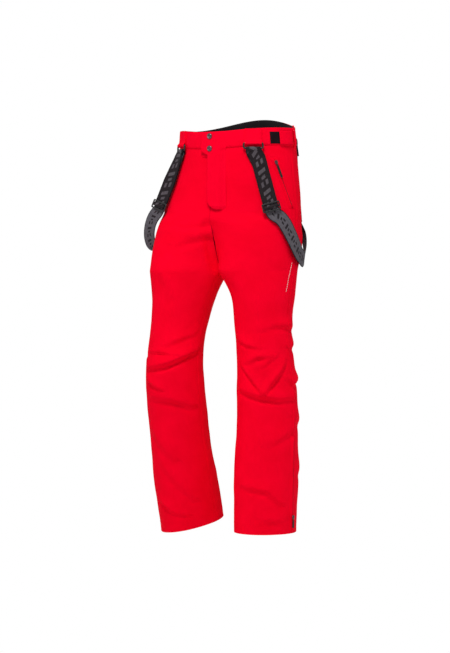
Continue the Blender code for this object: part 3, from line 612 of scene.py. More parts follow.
def shell_piece(name, side, first, last, hem):
    """Rows first to last of the shell with its lining; the hem turns the red cloth up inside."""
    outer, normal = SHELL[side][first:last + 1], SHELL_NORMAL[side][first:last + 1]
    inner = outer - normal * SHELL_THICKNESS
    rows, columns = outer.shape[:2]
    count = rows * columns
    index = np.arange(count).reshape(rows, columns)
    quads = quads_of(index)
    faces = [quads, quads[:, ::-1] + count]
    if hem:
        rim = np.stack([index[-1, 1:], index[-1, :-1], index[-1, :-1] + count, index[-1, 1:] + count], -1)
        faces.append(rim)
    faces = np.concatenate(faces)
    if side == RIGHT:
        faces = faces[:, ::-1]
    dark = np.zeros(len(faces), int)
    dark[len(quads):2 * len(quads)] = 1
    if hem:
        height = np.repeat(ROW_HEIGHTS[side][first:last], columns - 1)
        dark[len(quads):2 * len(quads)] = height > HEM_Z[side] + 0.030
    turn = TURNS[side][first:last + 1]
    uv = np.stack([turn / 360 * 0.5, np.repeat(ROW_HEIGHTS[side][first:last + 1, None], columns, 1)], -1)
    return mesh_object(name, np.concatenate([outer, inner]), faces, [shell_red, lining_black], dark,
                       np.concatenate([uv, uv]), np.concatenate([normal, -normal]))


for side, word in SIDE_NAMES.items():
    cut = int(np.argmin(np.abs(ROW_HEIGHTS[side] - LEG_STARTS_Z)))
    hips = shell_piece(f"hips_{word}", side, 0, cut, hem=False)
    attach(hips, "pants")
    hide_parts(f"front_panel_{word}", f"back_panel_{word}")
    leg = shell_piece(f"leg_{word}", side, cut, len(ROW_HEIGHTS[side]) - 1, hem=True)
    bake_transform(leg)
    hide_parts(f"knee_panel_{word}", f"shin_front_{word}", f"shin_back_{word}")
    for turn in (177.4, 182.6):
        sew(f"hips_{word}", *on_shell(side, turn, np.linspace(-0.055, LEG_STARTS_Z, 160)))
        sew(f"leg_{word}", *on_shell(side, turn, np.linspace(LEG_STARTS_Z, HEM_Z[side], 160)))
    for rise in (0.022, 0.026):
        sew(f"leg_{word}", *on_shell(side, np.linspace(0.5, 359.5, 200), HEM_Z[side] + rise))

# Waistband: two halves of doubled red cloth, about 45 mm tall, edge-stitched top and bottom, meeting at the
# middle of the back; the right half runs on under the fly flap. A brushed black facing lines it all round.
band_red = woven("band_red_twill", (0.990, 0.0002, 0.0235), (0.950, 0.0002, 0.0205), 0.64, 1100.0, 0.00006)
facing_black = woven("facing_black_brushed", (0.0080, 0.0055, 0.0070), (0.014, 0.010, 0.012), 0.85, 500.0,
                     0.0002, sheen=0.15, sheen_colour=(0.5, 0.45, 0.5, 1))
FLAP_FREE_X, FLY_EDGE_X, UNDERLAP_X = -0.028, -0.007, 0.020
BAND_OUT, BAND_THICKNESS = 0.0004, 0.0034
band_heights = edged(0.0, -BAND_HEIGHT, 12, 0.0007)
puff = 0.0005 * np.sin(np.linspace(0, math.pi, len(band_heights)))
for side, word in SIDE_NAMES.items():
    middles, normals = [], []
    for z, out in zip(band_heights, puff - 0.0011 * np.exp(-((band_heights + BAND_HEIGHT) / 0.003) ** 2)):
        start = float(front_turn(side, 0.036 if side == LEFT else 0.0, z))
        point, normal = on_shell(side, edged(start, 269.8, 90, 0.25), z, BAND_OUT + out)
        if side == RIGHT:
            under, under_normal = on_front(np.linspace(UNDERLAP_X, 0.0015, 8), z, BAND_OUT - 0.0004)
            point, normal = np.concatenate([under, point]), np.concatenate([under_normal, normal])
        middles.append(point)
        normals.append(normal)
    band = slab(f"waistband_{word}_cloth", np.array(middles), np.array(normals), BAND_THICKNESS, [band_red])
    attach(band, "pants")
    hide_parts(f"waistband_{word}")
    for z in (-0.0022, -0.0438):
        start = float(front_turn(side, 0.040 if side == LEFT else -0.030, z))
        sew("waistband", *on_shell(side, np.linspace(start, 269.5, 160), z,
                                   BAND_OUT + BAND_THICKNESS / 2 + 0.0001))

middles, normals = [], []
for z in edged(0.0007, -0.0600, 10, 0.0006):
    out = -0.0044 + 0.0023 * math.exp(-(z / 0.005) ** 2)
    left_half, right_half = (on_shell(side, np.linspace(90, 270, 72), z, out) for side in (LEFT, RIGHT))
    middles.append(np.concatenate([left_half[0], right_half[0][-2:0:-1]]))
    normals.append(np.concatenate([left_half[1], right_half[1][-2:0:-1]]))
facing = slab("waist_facing_cloth", np.array(middles), np.array(normals), 0.0012, [facing_black], ring=True)
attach(facing, "pants")
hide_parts("waist_facing")


def frame_at(side, turn, z, out=0.0):
    """A frame on the shell: X across, Y up the cloth, Z outward."""
    n = Vector(pattern_normal(side, turn, z))
    across = Vector((0, 0, 1)).cross(n).normalized()
    origin = Vector(pattern(side, turn, z)) + n * out
    return Matrix.Translation(origin) @ Matrix((across, n.cross(across), n)).transposed().to_4x4()


def smooth_line(points):
    """Points along a smooth curve through the given ones."""
    points, per_step = np.asarray(points, float), 4
    stations = np.column_stack([-np.arange(len(points)), points])
    at = np.linspace(0, len(points) - 1, per_step * (len(points) - 1) + 1)
    return np.stack(along(stations, -at), -1)


def ribbon(name, frame, outline, width, thickness, materials):
    """A band folded in the frame's up-outward plane, through (up, out) points."""
    line = smooth_line(outline)
    forward = unit(np.gradient(line, axis=0))
    over = edged(-width / 2, width / 2, 5, 0.0008)
    matrix = np.array(frame)
    local = np.stack(np.broadcast_arrays(over[None, :], line[:, :1], line[:, 1:]), -1)
    normal = np.stack([np.zeros(len(line)), -forward[:, 1], forward[:, 0]], -1)
    if normal[0, 2] < 0:
        normal = -normal
    middles = local @ matrix[:3, :3].T + matrix[:3, 3]
    normals = np.repeat((normal @ matrix[:3, :3].T)[:, None], len(over), 1)
    return slab(name, middles, normals, thickness, materials), middles, normals


# Belt loops: narrow folded strips of the red cloth, bar-tacked above and below the band.
BELT_LOOPS = {"left": (LEFT, 189), "right": (RIGHT, 189), "back": (LEFT, 270)}
for word, (side, turn) in BELT_LOOPS.items():
    outline = [(0.026, 0.0028), (0.022, 0.0031), (0.017, 0.0056), (0, 0.0063), (-0.017, 0.0056),
               (-0.022, 0.0031), (-0.026, 0.0028)]
    loop, middles, normals = ribbon(f"belt_loop_{word}_cloth", frame_at(side, turn, -0.028), outline, 0.011,
                                    0.0015, [band_red])
    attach(loop, "pants")
    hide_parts(f"belt_loop_{word}")
    for column in (2, 4):
        sew("waistband", middles[:, column] + normals[:, column] * 0.0008, normals[:, column])

# Waist adjusters: a black hook patch sewn to each side of the band, and a red tab that grips it from behind.
hook_black = woven("hook_black", (0.0110, 0.0060, 0.0080), (0.020, 0.012, 0.015), 0.92, 420.0, 0.0006,
                   slant=0.0)
for side, word in SIDE_NAMES.items():
    turns, heights = edged(150, 163, 10, 0.4), edged(-0.011, -0.042, 8, 0.0008)
    point, normal = on_shell(side, turns[None, :], heights[:, None], 0.0027)
    patch = slab(f"hook_patch_{word}_cloth", point, normal, 0.0010, [hook_black])
    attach(patch, "pants")
    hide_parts(f"hook_patch_{word}")
    turns, heights = edged(161.5, 184.5, 22, 0.4), edged(-0.009, -0.044, 9, 0.0008)
    lift = 0.0049 - 0.0020 * np.clip((turns - 180) / 4.5, 0, 1) ** 2
    point, normal = on_shell(side, turns[None, :], heights[:, None], lift[None, :])
    tab = slab(f"waist_tab_{word}_cloth", point, normal, 0.0018, [band_red, hook_black])
    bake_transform(tab)
    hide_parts(f"waist_tab_{word}")
    edge_line = np.concatenate([point[2, -10:1:-1], point[2:-2, 2], point[-3, 2:-9]])
    edge_normal = np.concatenate([normal[2, -10:1:-1], normal[2:-2, 2], normal[-3, 2:-9]])
    sew(f"waist_tab_{word}", edge_line + edge_normal * 0.0009, edge_normal)

# Fly: the left front carries a flap over the zip and closes with two gunmetal snaps. The flap is doubled
# cloth, its free edge stitched back, its corner cut off below the band and its foot rounded into the seam.
FLAP_OUT, FLY_BOTTOM_Z = 0.0065, -0.212
CORNER_TOP_Z, CORNER_BOTTOM_Z, CORNER_HEIGHT, FOOT_TOP_Z, FOOT_WIDTH = -0.052, -0.063, 0.011, -0.180, 0.030


def free_edge(z):
    """The x of the flap's free edge."""
    if z > CORNER_TOP_Z:
        return FLAP_FREE_X
    if z > CORNER_BOTTOM_Z:
        return FLAP_FREE_X + (FLY_EDGE_X - FLAP_FREE_X) * (CORNER_TOP_Z - z) / CORNER_HEIGHT
    if z > FOOT_TOP_Z:
        return FLY_EDGE_X
    fall = (FOOT_TOP_Z - z) / (FOOT_TOP_Z - FLY_BOTTOM_Z)
    return FLY_EDGE_X + FOOT_WIDTH * (1 - math.sqrt(max(0.0, 1 - fall**2)))


def flap_lift(z):
    """The flap stands off a little more over the zip and is drawn in at its foot."""
    return 0.0013 * np.clip((-0.090 - z) / 0.060, 0, 1) - 0.0034 * np.clip((-0.203 - z) / 0.009, 0, 1)


flap_heights = np.concatenate([[0.0, -0.0008], np.linspace(-0.004, -0.0512, 12), [-0.0524],
                               np.linspace(-0.054, -0.0635, 8), np.linspace(-0.068, FOOT_TOP_Z, 36),
                               np.linspace(-0.184, -0.2075, 12), [-0.2095, -0.2112, FLY_BOTTOM_Z]])
middles, normals = [], []
for z in flap_heights:
    x = edged(free_edge(z), 0.043, 26, 0.0008)
    rise = np.clip((0.042 - x) / 0.020, 0, 1)
    out = -0.0006 + (FLAP_OUT + 0.0006) * rise**2 * (3 - 2 * rise)
    out = out + 0.0017 * np.clip((x - 0.024) / 0.010, 0, 1) * (z > -BAND_HEIGHT - 0.002)
    point, normal = on_front(x, z, out + flap_lift(z))
    middles.append(point)
    normals.append(normal)
middles, normals = np.array(middles), np.array(normals)
flap = slab("fly_flap_cloth", middles, normals, 0.0022, [band_red, lining_black])
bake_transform(flap)
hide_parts("fly_flap")
line, line_normal = [], []
for z in np.concatenate([np.linspace(-0.003, FOOT_TOP_Z, 60), np.linspace(-0.184, -0.206, 12)]):
    x = np.array([min(free_edge(z) + 0.0022, 0.032)])
    point, normal = on_front(x, z, FLAP_OUT + 0.0012 + flap_lift(z))
    line.append(point[0])
    line_normal.append(normal[0])
sew("fly_flap", np.array(line), np.array(line_normal))

def hard(name, dark, light, grain_scale, detail, roughness, bump, metallic=0.0, specular=0.5):
    """A metal or moulded finish that runs from dark to light, and from smooth to rough, with its grain."""
    material, tree, shader = new_finish(name)
    shader.inputs["Metallic"].default_value = metallic
    shader.inputs["Specular IOR Level"].default_value = specular
    place = wire(tree, "TexCoord").outputs["Object"]
    grain = wire(tree, "TexNoise", Vector=place, Scale=grain_scale, Detail=detail).outputs["Fac"]
    tree.links.new(mixed(tree, grain, (*dark, 1), (*light, 1)), shader.inputs["Base Color"])
    rough = wire(tree, "MapRange", Value=grain, To_Min=roughness[0], To_Max=roughness[1])
    tree.links.new(rough.outputs["Result"], shader.inputs["Roughness"])
    pits = wire(tree, "Bump", Height=grain, Strength=bump, Distance=0.0001)
    tree.links.new(pits.outputs["Normal"], shader.inputs["Normal"])
    return material


gunmetal = hard("gunmetal_brushed", (0.115, 0.072, 0.082), (0.190, 0.130, 0.142), 260.0, 3.0, (0.34, 0.34),
                0.25, metallic=0.9)


def turned(name, frame, profile, material):
    """A turned piece: profile is (radius, height) from the middle of its top, down its side, to its back."""
    sides = 48
    profile = np.array(profile, float)
    angles = np.linspace(0, 2 * math.pi, sides, endpoint=False)
    rings = np.stack([profile[:, None, 0] * np.cos(angles), profile[:, None, 0] * np.sin(angles),
                      np.repeat(profile[:, 1:], sides, 1)], -1)
    index = np.arange(len(profile) * sides).reshape(len(profile), sides)
    faces = quads_of(np.concatenate([index, index[:, :1]], 1)).tolist()
    last = len(profile) * sides
    faces += [list(range(sides)), list(range(last - 1, last - 1 - sides, -1))]
    obj = mesh_object(name, rings, faces, [material])
    obj.matrix_world = frame
    return obj


# (radius, height) down the side of a snap's cap and of its stud.
CAP_PROFILE = ((0.0008, 0.0014), (0.0030, 0.0014), (0.0033, 0.0011), (0.0037, 0.0011), (0.0041, 0.0019),
               (0.0052, 0.0024), (0.0064, 0.0022), (0.0073, 0.0014), (0.00775, 0.0004), (0.0076, 0.0),
               (0.0020, 0.0))
STUD_PROFILE = ((0.0004, 0.0023), (0.0018, 0.0023), (0.0026, 0.0020), (0.0028, 0.0014), (0.0025, 0.0009),
                (0.0028, 0.0006), (0.0054, 0.0006), (0.0060, 0.0003), (0.0060, 0.0), (0.0015, 0.0))
SNAP_Z = {"upper": -0.0117, "lower": -0.0452}
for word, z in SNAP_Z.items():
    cap = turned(f"snap_cap_{word}_metal", frame_at(LEFT, 90, z, FLAP_OUT + 0.0013), CAP_PROFILE, gunmetal)
    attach(cap, "fly_flap")
    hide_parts(f"snap_cap_{word}")
    stud = turned(f"snap_stud_{word}_metal", frame_at(LEFT, 90, z, 0.0026), STUD_PROFILE, gunmetal)
    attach(stud, "pants")
    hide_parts(f"snap_stud_{word}")

# Fly zip: black coil zip on a woven tape, with a gunmetal slider and pull, above it a red underlap.
zip_black = woven("zip_black", (0.012, 0.010, 0.012), (0.020, 0.017, 0.020), 0.55, 900.0, 0.00015, slant=0.0)
heights = edged(-BAND_HEIGHT - GAP, -0.068, 8, 0.0006)
point, normal = on_front(edged(-0.027, UNDERLAP_X, 16, 0.0006)[None, :], heights[:, None], 0.0014)
underlap = slab("fly_underlap_cloth", point, normal, 0.0012, [band_red])
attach(underlap, "pants")
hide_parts("fly_underlap")
heights = edged(-0.069, -0.205, 40, 0.0006)
left_edges = np.array([max(-0.0050, free_edge(z) + 0.003) for z in heights])
across = left_edges[:, None] + (0.013 - left_edges[:, None]) * np.linspace(0, 1, 12)[None, :]
point, normal = on_front(across, heights[:, None], 0.0010)
tape = slab("fly_zip_tape_cloth", point, normal, 0.0008, [zip_black])
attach(tape, "pants")
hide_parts("fly_zip_tape")
heights = np.arange(-0.083, -0.1985, -0.00035)
over = np.array([-0.0024, -0.0020, -0.0008, 0.0008, 0.0020, 0.0024])
point, normal = on_front(over[None, :], heights[:, None], 0.0010)
swell = 0.0008 + 0.0008 * (0.5 + 0.5 * np.sin(np.arange(len(heights)) * math.pi / 2))[:, None]
coil = slab("fly_zip_coil", point, normal, swell, [zip_black])
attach(coil, "pants")


def plate(name, frame, outlines, depth, bevel, material):
    """A flat moulded plate with rounded edges; the first outline is its edge, the others are holes."""
    curve = bpy.data.curves.new(name, "CURVE")
    curve.dimensions, curve.fill_mode = "2D", "BOTH"
    curve.extrude, curve.offset = depth / 2 - bevel, -bevel
    curve.bevel_depth, curve.bevel_resolution = bevel, 3
    for outline in outlines:
        spline = curve.splines.new("POLY")
        spline.points.add(len(outline) - 1)
        for spot, (x, y) in zip(spline.points, outline):
            spot.co = (x, y, 0, 1)
        spline.use_cyclic_u = True
    curve.materials.append(material)
    obj = bpy.data.objects.new(name, curve)
    scene.collection.objects.link(obj)
    obj.matrix_world = frame
    return obj


def rounded(width, height, radius):
    """The outline of a rectangle with rounded corners."""
    points = []
    for quarter, (sx, sy) in enumerate(((1, 1), (-1, 1), (-1, -1), (1, -1))):
        for a in np.radians(90 * quarter + np.linspace(0, 90, 7)):
            points.append((sx * (width / 2 - radius) + radius * math.cos(a),
                           sy * (height / 2 - radius) + radius * math.sin(a)))
    return points


ZIP_SLIDER_DEPTH, PULL_RIB_STEP = 0.0022, 0.0022


def slider_and_pull(name, frame, pull_length, slider_material, pull_material, bodies):
    """A zip slider with its bridge, and the pull that hangs from it, both in the slider's frame."""
    body = plate(f"{name}_slider_body", frame, [rounded(0.008, 0.010, 0.0028)], ZIP_SLIDER_DEPTH, 0.0005,
                 slider_material)
    bridge_at = frame @ Matrix.Translation((0, 0.0002, 0.0013)) @ Matrix.Rotation(math.pi / 2, 4, "Y")
    bridge = plate(f"{name}_slider_bridge", bridge_at, [rounded(0.0016, 0.0078, 0.0007)], 0.0018, 0.0003,
                   slider_material)
    pull_at = frame @ Matrix.Translation((0, -0.0056 - pull_length / 2, 0.0004))
    hole = [(x, y + pull_length / 2 - 0.0026) for x, y in rounded(0.0030, 0.0022, 0.0009)]
    grip = plate(f"{name}_pull_grip", pull_at, [rounded(0.0060, pull_length, 0.0022), hole], 0.0016, 0.0005,
                 pull_material)
    rib_lines = []
    for k in range(int((pull_length - 0.010) / PULL_RIB_STEP)):
        rib_at = pull_at @ Matrix.Translation((0, pull_length / 2 - 0.0070 - k * PULL_RIB_STEP, 0.0008))
        rib_lines.append(plate(f"{name}_pull_rib_{k}", rib_at, [rounded(0.0042, 0.0009, 0.0004)], 0.0008,
                               0.0003, pull_material))
    for piece in (body, bridge):
        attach(piece, bodies[0])
    for piece in (grip, *rib_lines):
        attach(piece, bodies[1])
    return body, grip


zip_frame = frame_at(LEFT, 90, -0.077, 0.0035)
body, grip = slider_and_pull("fly_zip", zip_frame, 0.0150, gunmetal, gunmetal,
                             ("fly_zip_slider", "fly_zip_slider"))
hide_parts("fly_zip_slider")
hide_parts("fly_zip_pull")

# Pocket and ankle zips: each closes a straight slit between two turned red lips, with a black coil, a
# gunmetal slider and a ribbed black rubber pull. The ankle zips ride on the shins, at the hem's outer seam.
rubber_black = hard("rubber_black", (0.010, 0.008, 0.009), (0.018, 0.014, 0.016), 900.0, 2.0, (0.42, 0.60),
                    0.3, specular=0.35)
ZIP_LIFT = 0.0020


def zip_line(side, ends):
    """The straight line that a zip closes along: upper end, lower end and outward direction."""
    high, low = (pattern(side, *end) for end in sorted(ends, key=lambda end: -end[1]))
    (turn_a, z_a), (turn_b, z_b) = ends
    up = unit(high - low)
    n = pattern_normal(side, (turn_a + turn_b) / 2, (z_a + z_b) / 2)
    n = unit(n - up * (n @ up))
    s = np.linspace(0, 1, 13)
    bulge = ((pattern(side, turn_a + (turn_b - turn_a) * s, z_a + (z_b - z_a) * s) - low) @ n).max()
    return high + n * bulge, low + n * bulge, n


def sewn_zip(name, side, ends, half_gap, lip, share, pull_length, bodies):
    """One zip between its ends (turn, height): lips, coil, slider and pull; share is how far down it is."""
    high, low, n = zip_line(side, ends)
    up = unit(high - low)
    across = np.cross(up, n)
    (turn_high, z_high), (turn_low, z_low) = sorted(ends, key=lambda end: -end[1])
    s = np.concatenate([np.linspace(-0.05, 0, 6)[:-1], np.linspace(0, 1, 60), np.linspace(1, 1.05, 6)[1:]])
    line = high + (low - high) * s[:, None]
    turn, z = turn_high + (turn_low - turn_high) * s, z_high + (z_low - z_high) * s
    z = np.maximum(z, HEM_Z[side] + 0.001)
    below, shell_normal = on_shell(side, turn, z)
    degree = np.linalg.norm(pattern(side, turn + 1, z) - pattern(side, turn, z), axis=-1)
    rising = np.clip(np.minimum(s + 0.05, 1.05 - s) / 0.05, 0, 1)[:, None]
    pieces = []
    for way in (-1, 1):
        sign = way if (pattern(side, turn[9] + 1, z[9]) - pattern(side, turn[9], z[9])) @ across > 0 else -way
        outer = on_shell(side, turn + sign * lip / degree, z, 0.0002)[0]
        beside, lifted = across * way * half_gap, shell_normal * 0.001
        inner = line + n * ZIP_LIFT + beside
        inner = below + lifted + beside + (inner - below - lifted - beside) * rising
        k = np.array([0, 0.06, 0.2, 0.4, 0.6, 0.8, 0.94, 1.0])
        ease = (k**2 * (3 - 2 * k))[None, :, None]
        flat = inner[:, None] * (1 - k[None, :, None]) + outer[:, None] * k[None, :, None]
        drop = ((outer - inner) * shell_normal).sum(-1)[:, None, None] * shell_normal[:, None]
        middles = flat + drop * (ease - k[None, :, None]) * 0.8
        normals = np.repeat(shell_normal[:, None], len(k), 1)
        pieces.append(slab(f"{name}_lip_{'front' if way < 0 else 'back'}", middles, normals, 0.0012,
                           [shell_red]))
        sew(f"zips_{bodies[0]}", middles[:, 3] + normals[:, 3] * 0.0007, normals[:, 3])
    steps = np.arange(0.004, np.linalg.norm(high - low) - 0.002, 0.0004)
    spine = high - up * steps[:, None] + n * (ZIP_LIFT - 0.0004)
    over = np.array([-1, -0.8, -0.3, 0.3, 0.8, 1]) * (half_gap + 0.0012)
    swell = 0.0010 + 0.0006 * (0.5 + 0.5 * np.sin(np.arange(len(steps)) * math.pi / 2))[:, None]
    coil = slab(f"{name}_coil", spine[:, None] + across * over[None, :, None],
                np.broadcast_to(n, (len(steps), len(over), 3)), swell, [zip_black])
    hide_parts(f"{name}_tape")
    for piece in (*pieces, coil):
        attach(piece, bodies[0])
    middle = high + (low - high) * share + n * (ZIP_LIFT + 0.0008 + GAP + ZIP_SLIDER_DEPTH / 2)
    frame_of_slider = Matrix.Translation(middle) @ Matrix((across, up, n)).transposed().to_4x4()
    body, grip = slider_and_pull(name, frame_of_slider, pull_length, gunmetal, rubber_black, bodies[1:])
    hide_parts(f"{name}_slider")
    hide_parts(f"{name}_pull")


for side, word in SIDE_NAMES.items():
    sewn_zip(f"pocket_zip_{word}", side, ((153, -0.0860), (170, -0.2040)), 0.0005, 0.0085, 0.04, 0.036,
             ("pants", f"pocket_zip_slider_{word}", f"pocket_zip_pull_{word}"))
    sewn_zip(f"ankle_zip_{word}", side, ((180, -1.022), (180, -0.800)), 0.0004, 0.0075, 0.88, 0.022,
             (f"shin_{word}", f"ankle_zip_slider_{word}", f"ankle_zip_pull_{word}"))

# Ring tabs: doubled red cloth folded through each ring and stitched over the band, front and back.
RING_TURN, RING_TOP_Z = {"front": 132, "back": 230}, -0.0390
RING_WIDTH, RING_HEIGHT, RING_BAR, RING_OUT, TAB_WIDTH = 0.053, 0.0175, 0.0045, 0.0062, 0.043
plastic_black = hard("plastic_black_moulded", (0.0095, 0.0080, 0.0090), (0.0150, 0.0130, 0.0140), 320.0, 3.0,
                     (0.28, 0.44), 0.2)


def bent(centre, radius, start, end, count):
    """(up, out) points round a centre; 0 degrees is outward and 90 is up."""
    a = np.radians(np.linspace(start, end, count + 1))
    return list(zip(centre[0] + radius * np.sin(a), centre[1] + radius * np.cos(a)))


def hoop(name, line, radius, material):
    """A closed round bar along a flat line."""
    sides = 14
    ahead = unit(np.roll(line, -1, 0) - np.roll(line, 1, 0))
    over = unit(np.cross(ahead, (0.0, 0.0, 1.0)))
    up = np.cross(over, ahead)
    a = np.linspace(0, 2 * math.pi, sides, endpoint=False)[None, :, None]
    points = line[:, None] + (over[:, None] * np.cos(a) + up[:, None] * np.sin(a)) * radius
    index = np.pad(np.arange(len(line) * sides).reshape(len(line), sides), ((0, 1), (0, 1)), "wrap")
    return mesh_object(name, points, quads_of(index)[:, [0, 3, 2, 1]], [material])


for side, word in SIDE_NAMES.items():
    for end, turn in RING_TURN.items():
        at = frame_at(side, turn, RING_TOP_Z)
        fold = RING_BAR / 2 + GAP + 0.0006
        outline = [(0.0370, 0.0034), (0.034, 0.0040), (0.010, 0.0044), (0.0050, 0.0064)]
        outline += bent((0.0, RING_OUT), fold, 40, -180, 6) + [(0.006, 0.0030), (0.0330, 0.0030)]
        tab, middles, normals = ribbon(f"{end}_tab_{word}_cloth", at, outline, TAB_WIDTH, 0.0012, [band_red])
        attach(tab, "pants")
        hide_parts(f"{end}_tab_{word}")
        for column in (1, 5):
            inward = middles[:, 3] - middles[:, column]
            line = middles[:14, column] + unit(inward)[:14] * 0.0018 + normals[:14, column] * 0.0007
            sew("tabs", line, normals[:14, column])
        for row in (2, 13):
            line = middles[row, 1:6] + normals[row, 1:6] * 0.0007
            sew("tabs", line, normals[row, 1:6])
        drop = RING_HEIGHT - RING_BAR
        outline = np.array([(x, y, 0) for x, y in rounded(RING_WIDTH - RING_BAR, drop, 0.0035)])
        ring = hoop(f"{end}_ring_{word}_plastic", outline, RING_BAR / 2, plastic_black)
        ring.matrix_world = at @ Matrix.Translation((0, -drop / 2, RING_OUT))
        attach(ring, "pants")
        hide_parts(f"{end}_ring_{word}")

# Suspenders: 38 mm elastic webbing, black outside and grey on its back, woven with a repeated band of slanted
# bars. Each hangs in a loop from its front ring to its back ring; in front it is doubled down to a slider.
STRAP_WIDTH, STRAP_CLOTH, STRAP_ENDS_Z, GLIDE_OUT, WRAP_RADIUS = 0.038, 0.0016, -0.130, 0.0058, 0.0036
ROUTES = {
    LEFT: ((134, -0.0545, 0.0035), (143.5, -0.2065, 0.007), (152, -0.240, 0.007), (164, -0.283, 0.008),
           (181, -0.325, 0.012), (203, -0.338, 0.011), (220, -0.290, 0.008), (228, -0.1855, 0.006),
           (230, -0.0555, 0.0035)),
    RIGHT: ((133, -0.0545, 0.0035), (149, -0.2065, 0.018), (158, -0.245, 0.022), (172, -0.285, 0.024),
            (188, -0.318, 0.022), (204, -0.325, 0.016), (220, -0.285, 0.009), (228, -0.1855, 0.006),
            (230, -0.0555, 0.0035)),
}
# The right suspender's front half hangs free, facing this way, and turns to face the hip between these stops.
FREE_FACING, FREE_UNTIL = {RIGHT: np.array((-0.087, -0.996, 0))}, (3.0, 5.5)

# Bars: a generic woven band of slanted bars, one wide, one short, one split, between two thin edge lines.
bars, given, put = shader_group(
    "woven_bars",
    (("Place", "NodeSocketVector", None), ("Repeat", "NodeSocketFloat", 0.03),
     ("Half width", "NodeSocketFloat", 0.01), ("Edge at", "NodeSocketFloat", 0.017)),
    (("Mark", "NodeSocketFloat"), ("Edge", "NodeSocketFloat")))
split = wire(bars, "SeparateXYZ", i0=given.outputs["Place"])
off = sums(bars, "ABSOLUTE", split.outputs["X"])
lean = sums(bars, "MULTIPLY_ADD", split.outputs["X"], 0.45, split.outputs["Y"])
phase = sums(bars, "FRACT", sums(bars, "DIVIDE", lean, given.outputs["Repeat"]))
reach = sums(bars, "DIVIDE", off, given.outputs["Half width"])


def both(a, b):
    return sums(bars, "MULTIPLY", a, b)


def less(value, limit):
    return sums(bars, "LESS_THAN", value, limit)


def more(value, limit):
    return sums(bars, "GREATER_THAN", value, limit)


def between(low, high):
    return both(more(phase, low), less(phase, high))


wide = both(between(0.06, 0.24), less(reach, 1.0))
short = both(between(0.36, 0.50), less(reach, 0.55))
split_bar = both(between(0.60, 0.84), both(less(reach, 1.0), more(reach, 0.32)))
bars.links.new(sums(bars, "MAXIMUM", sums(bars, "MAXIMUM", wide, short), split_bar), put.inputs["Mark"])
bars.links.new(more(off, given.outputs["Edge at"]), put.inputs["Edge"])


def webbing(name, ground, mark, edge, repeat, half_width, edge_at):
    """Elastic webbing of one ground colour, with its woven bars and edge lines."""
    material = woven(name, ground, ground, 0.62, 620.0, 0.00022, slant=0.0, sheen=0.08,
                     sheen_colour=(0.6, 0.55, 0.62, 1))
    tree = material.node_tree
    shader = tree.nodes["Principled BSDF"]
    woven_in = wire(tree, "Group", (("node_tree", bars),), Place=wire(tree, "TexCoord").outputs["UV"],
                    Repeat=repeat, Half_width=half_width, Edge_at=edge_at)
    marked = mixed(tree, woven_in.outputs["Mark"], (*ground, 1), (*mark, 1))
    lined = mixed(tree, woven_in.outputs["Edge"], marked, (*edge, 1))
    cloud = wire(tree, "TexNoise", Vector=wire(tree, "TexCoord").outputs["UV"], Scale=160.0, Detail=4.0)
    shade = wire(tree, "MapRange", Value=cloud.outputs["Fac"], From_Min=0.3, From_Max=0.7, To_Min=0.8,
                 To_Max=1.2)
    toned = wire(tree, "VectorMath", (("operation", "SCALE"),), i0=lined, Scale=shade.outputs["Result"])
    tree.links.new(toned.outputs[0], shader.inputs["Base Color"])
    return material


webbing_front = webbing("webbing_black_barred", (0.0150, 0.0105, 0.0125), (0.085, 0.072, 0.082),
                        (0.010, 0.007, 0.009), 0.052, 0.0098, 0.0172)
webbing_back = webbing("webbing_grey_barred", (0.098, 0.090, 0.104), (0.016, 0.012, 0.015),
                       (0.010, 0.008, 0.010), 0.034, 0.0062, 0.0168)


def strap_line(side):
    """Middle points, outward directions and across directions from front ring to back ring."""
    route, straight, curved, twist_share = ROUTES[side], 32, 136, 0.55
    start, glide = (pattern(side, t, z) + pattern_normal(side, t, z) * out for t, z, out in route[:2])
    share = np.arange(straight)[:, None] / straight
    stops = [(-i, *stop) for i, stop in enumerate(route)]
    turn, z, out = along(stops, -1 - (len(route) - 2) * np.linspace(0, 1, curved + 1))
    normals = pattern_normal(side, turn, z)
    points = np.concatenate([start + (glide - start) * share,
                             pattern(side, turn, z) + normals * out[:, None]])
    ring_normal, glide_normal = (pattern_normal(side, *stop[:2]) for stop in route[:2])
    if side in FREE_FACING:
        glide_normal = FREE_FACING[side]
        hip = np.clip((1 + (len(route) - 2) * np.linspace(0, 1, curved + 1) - FREE_UNTIL[0])
                      / (FREE_UNTIL[1] - FREE_UNTIL[0]), 0, 1)[:, None]
        hip = hip * hip * (3 - 2 * hip)
        normals = unit(glide_normal * (1 - hip) + normals * hip)
    facing_glide = np.minimum(1, share / twist_share)
    normals = np.concatenate([unit(ring_normal * (1 - facing_glide) + glide_normal * facing_glide), normals])
    forward = unit(np.gradient(points, axis=0))
    return points, normals, unit(np.cross(normals, forward)), straight


def strap_piece(name, middles, acrosses, outward_first, start=0.0):
    """Webbing along its middle points; start is how far along the strap it begins."""
    forward = unit(np.gradient(middles, axis=0))
    acrosses = unit(acrosses - forward * (acrosses * forward).sum(-1, keepdims=True))
    normals = np.cross(forward, acrosses)
    if normals[0] @ outward_first < 0:
        normals = -normals
    over = edged(-STRAP_WIDTH / 2, STRAP_WIDTH / 2, 7, 0.0007)
    grid = middles[:, None] + acrosses[:, None] * over[None, :, None]
    return slab(name, grid, np.repeat(normals[:, None], len(over), 1), STRAP_CLOTH,
                [webbing_front, webbing_back], along_start=start)


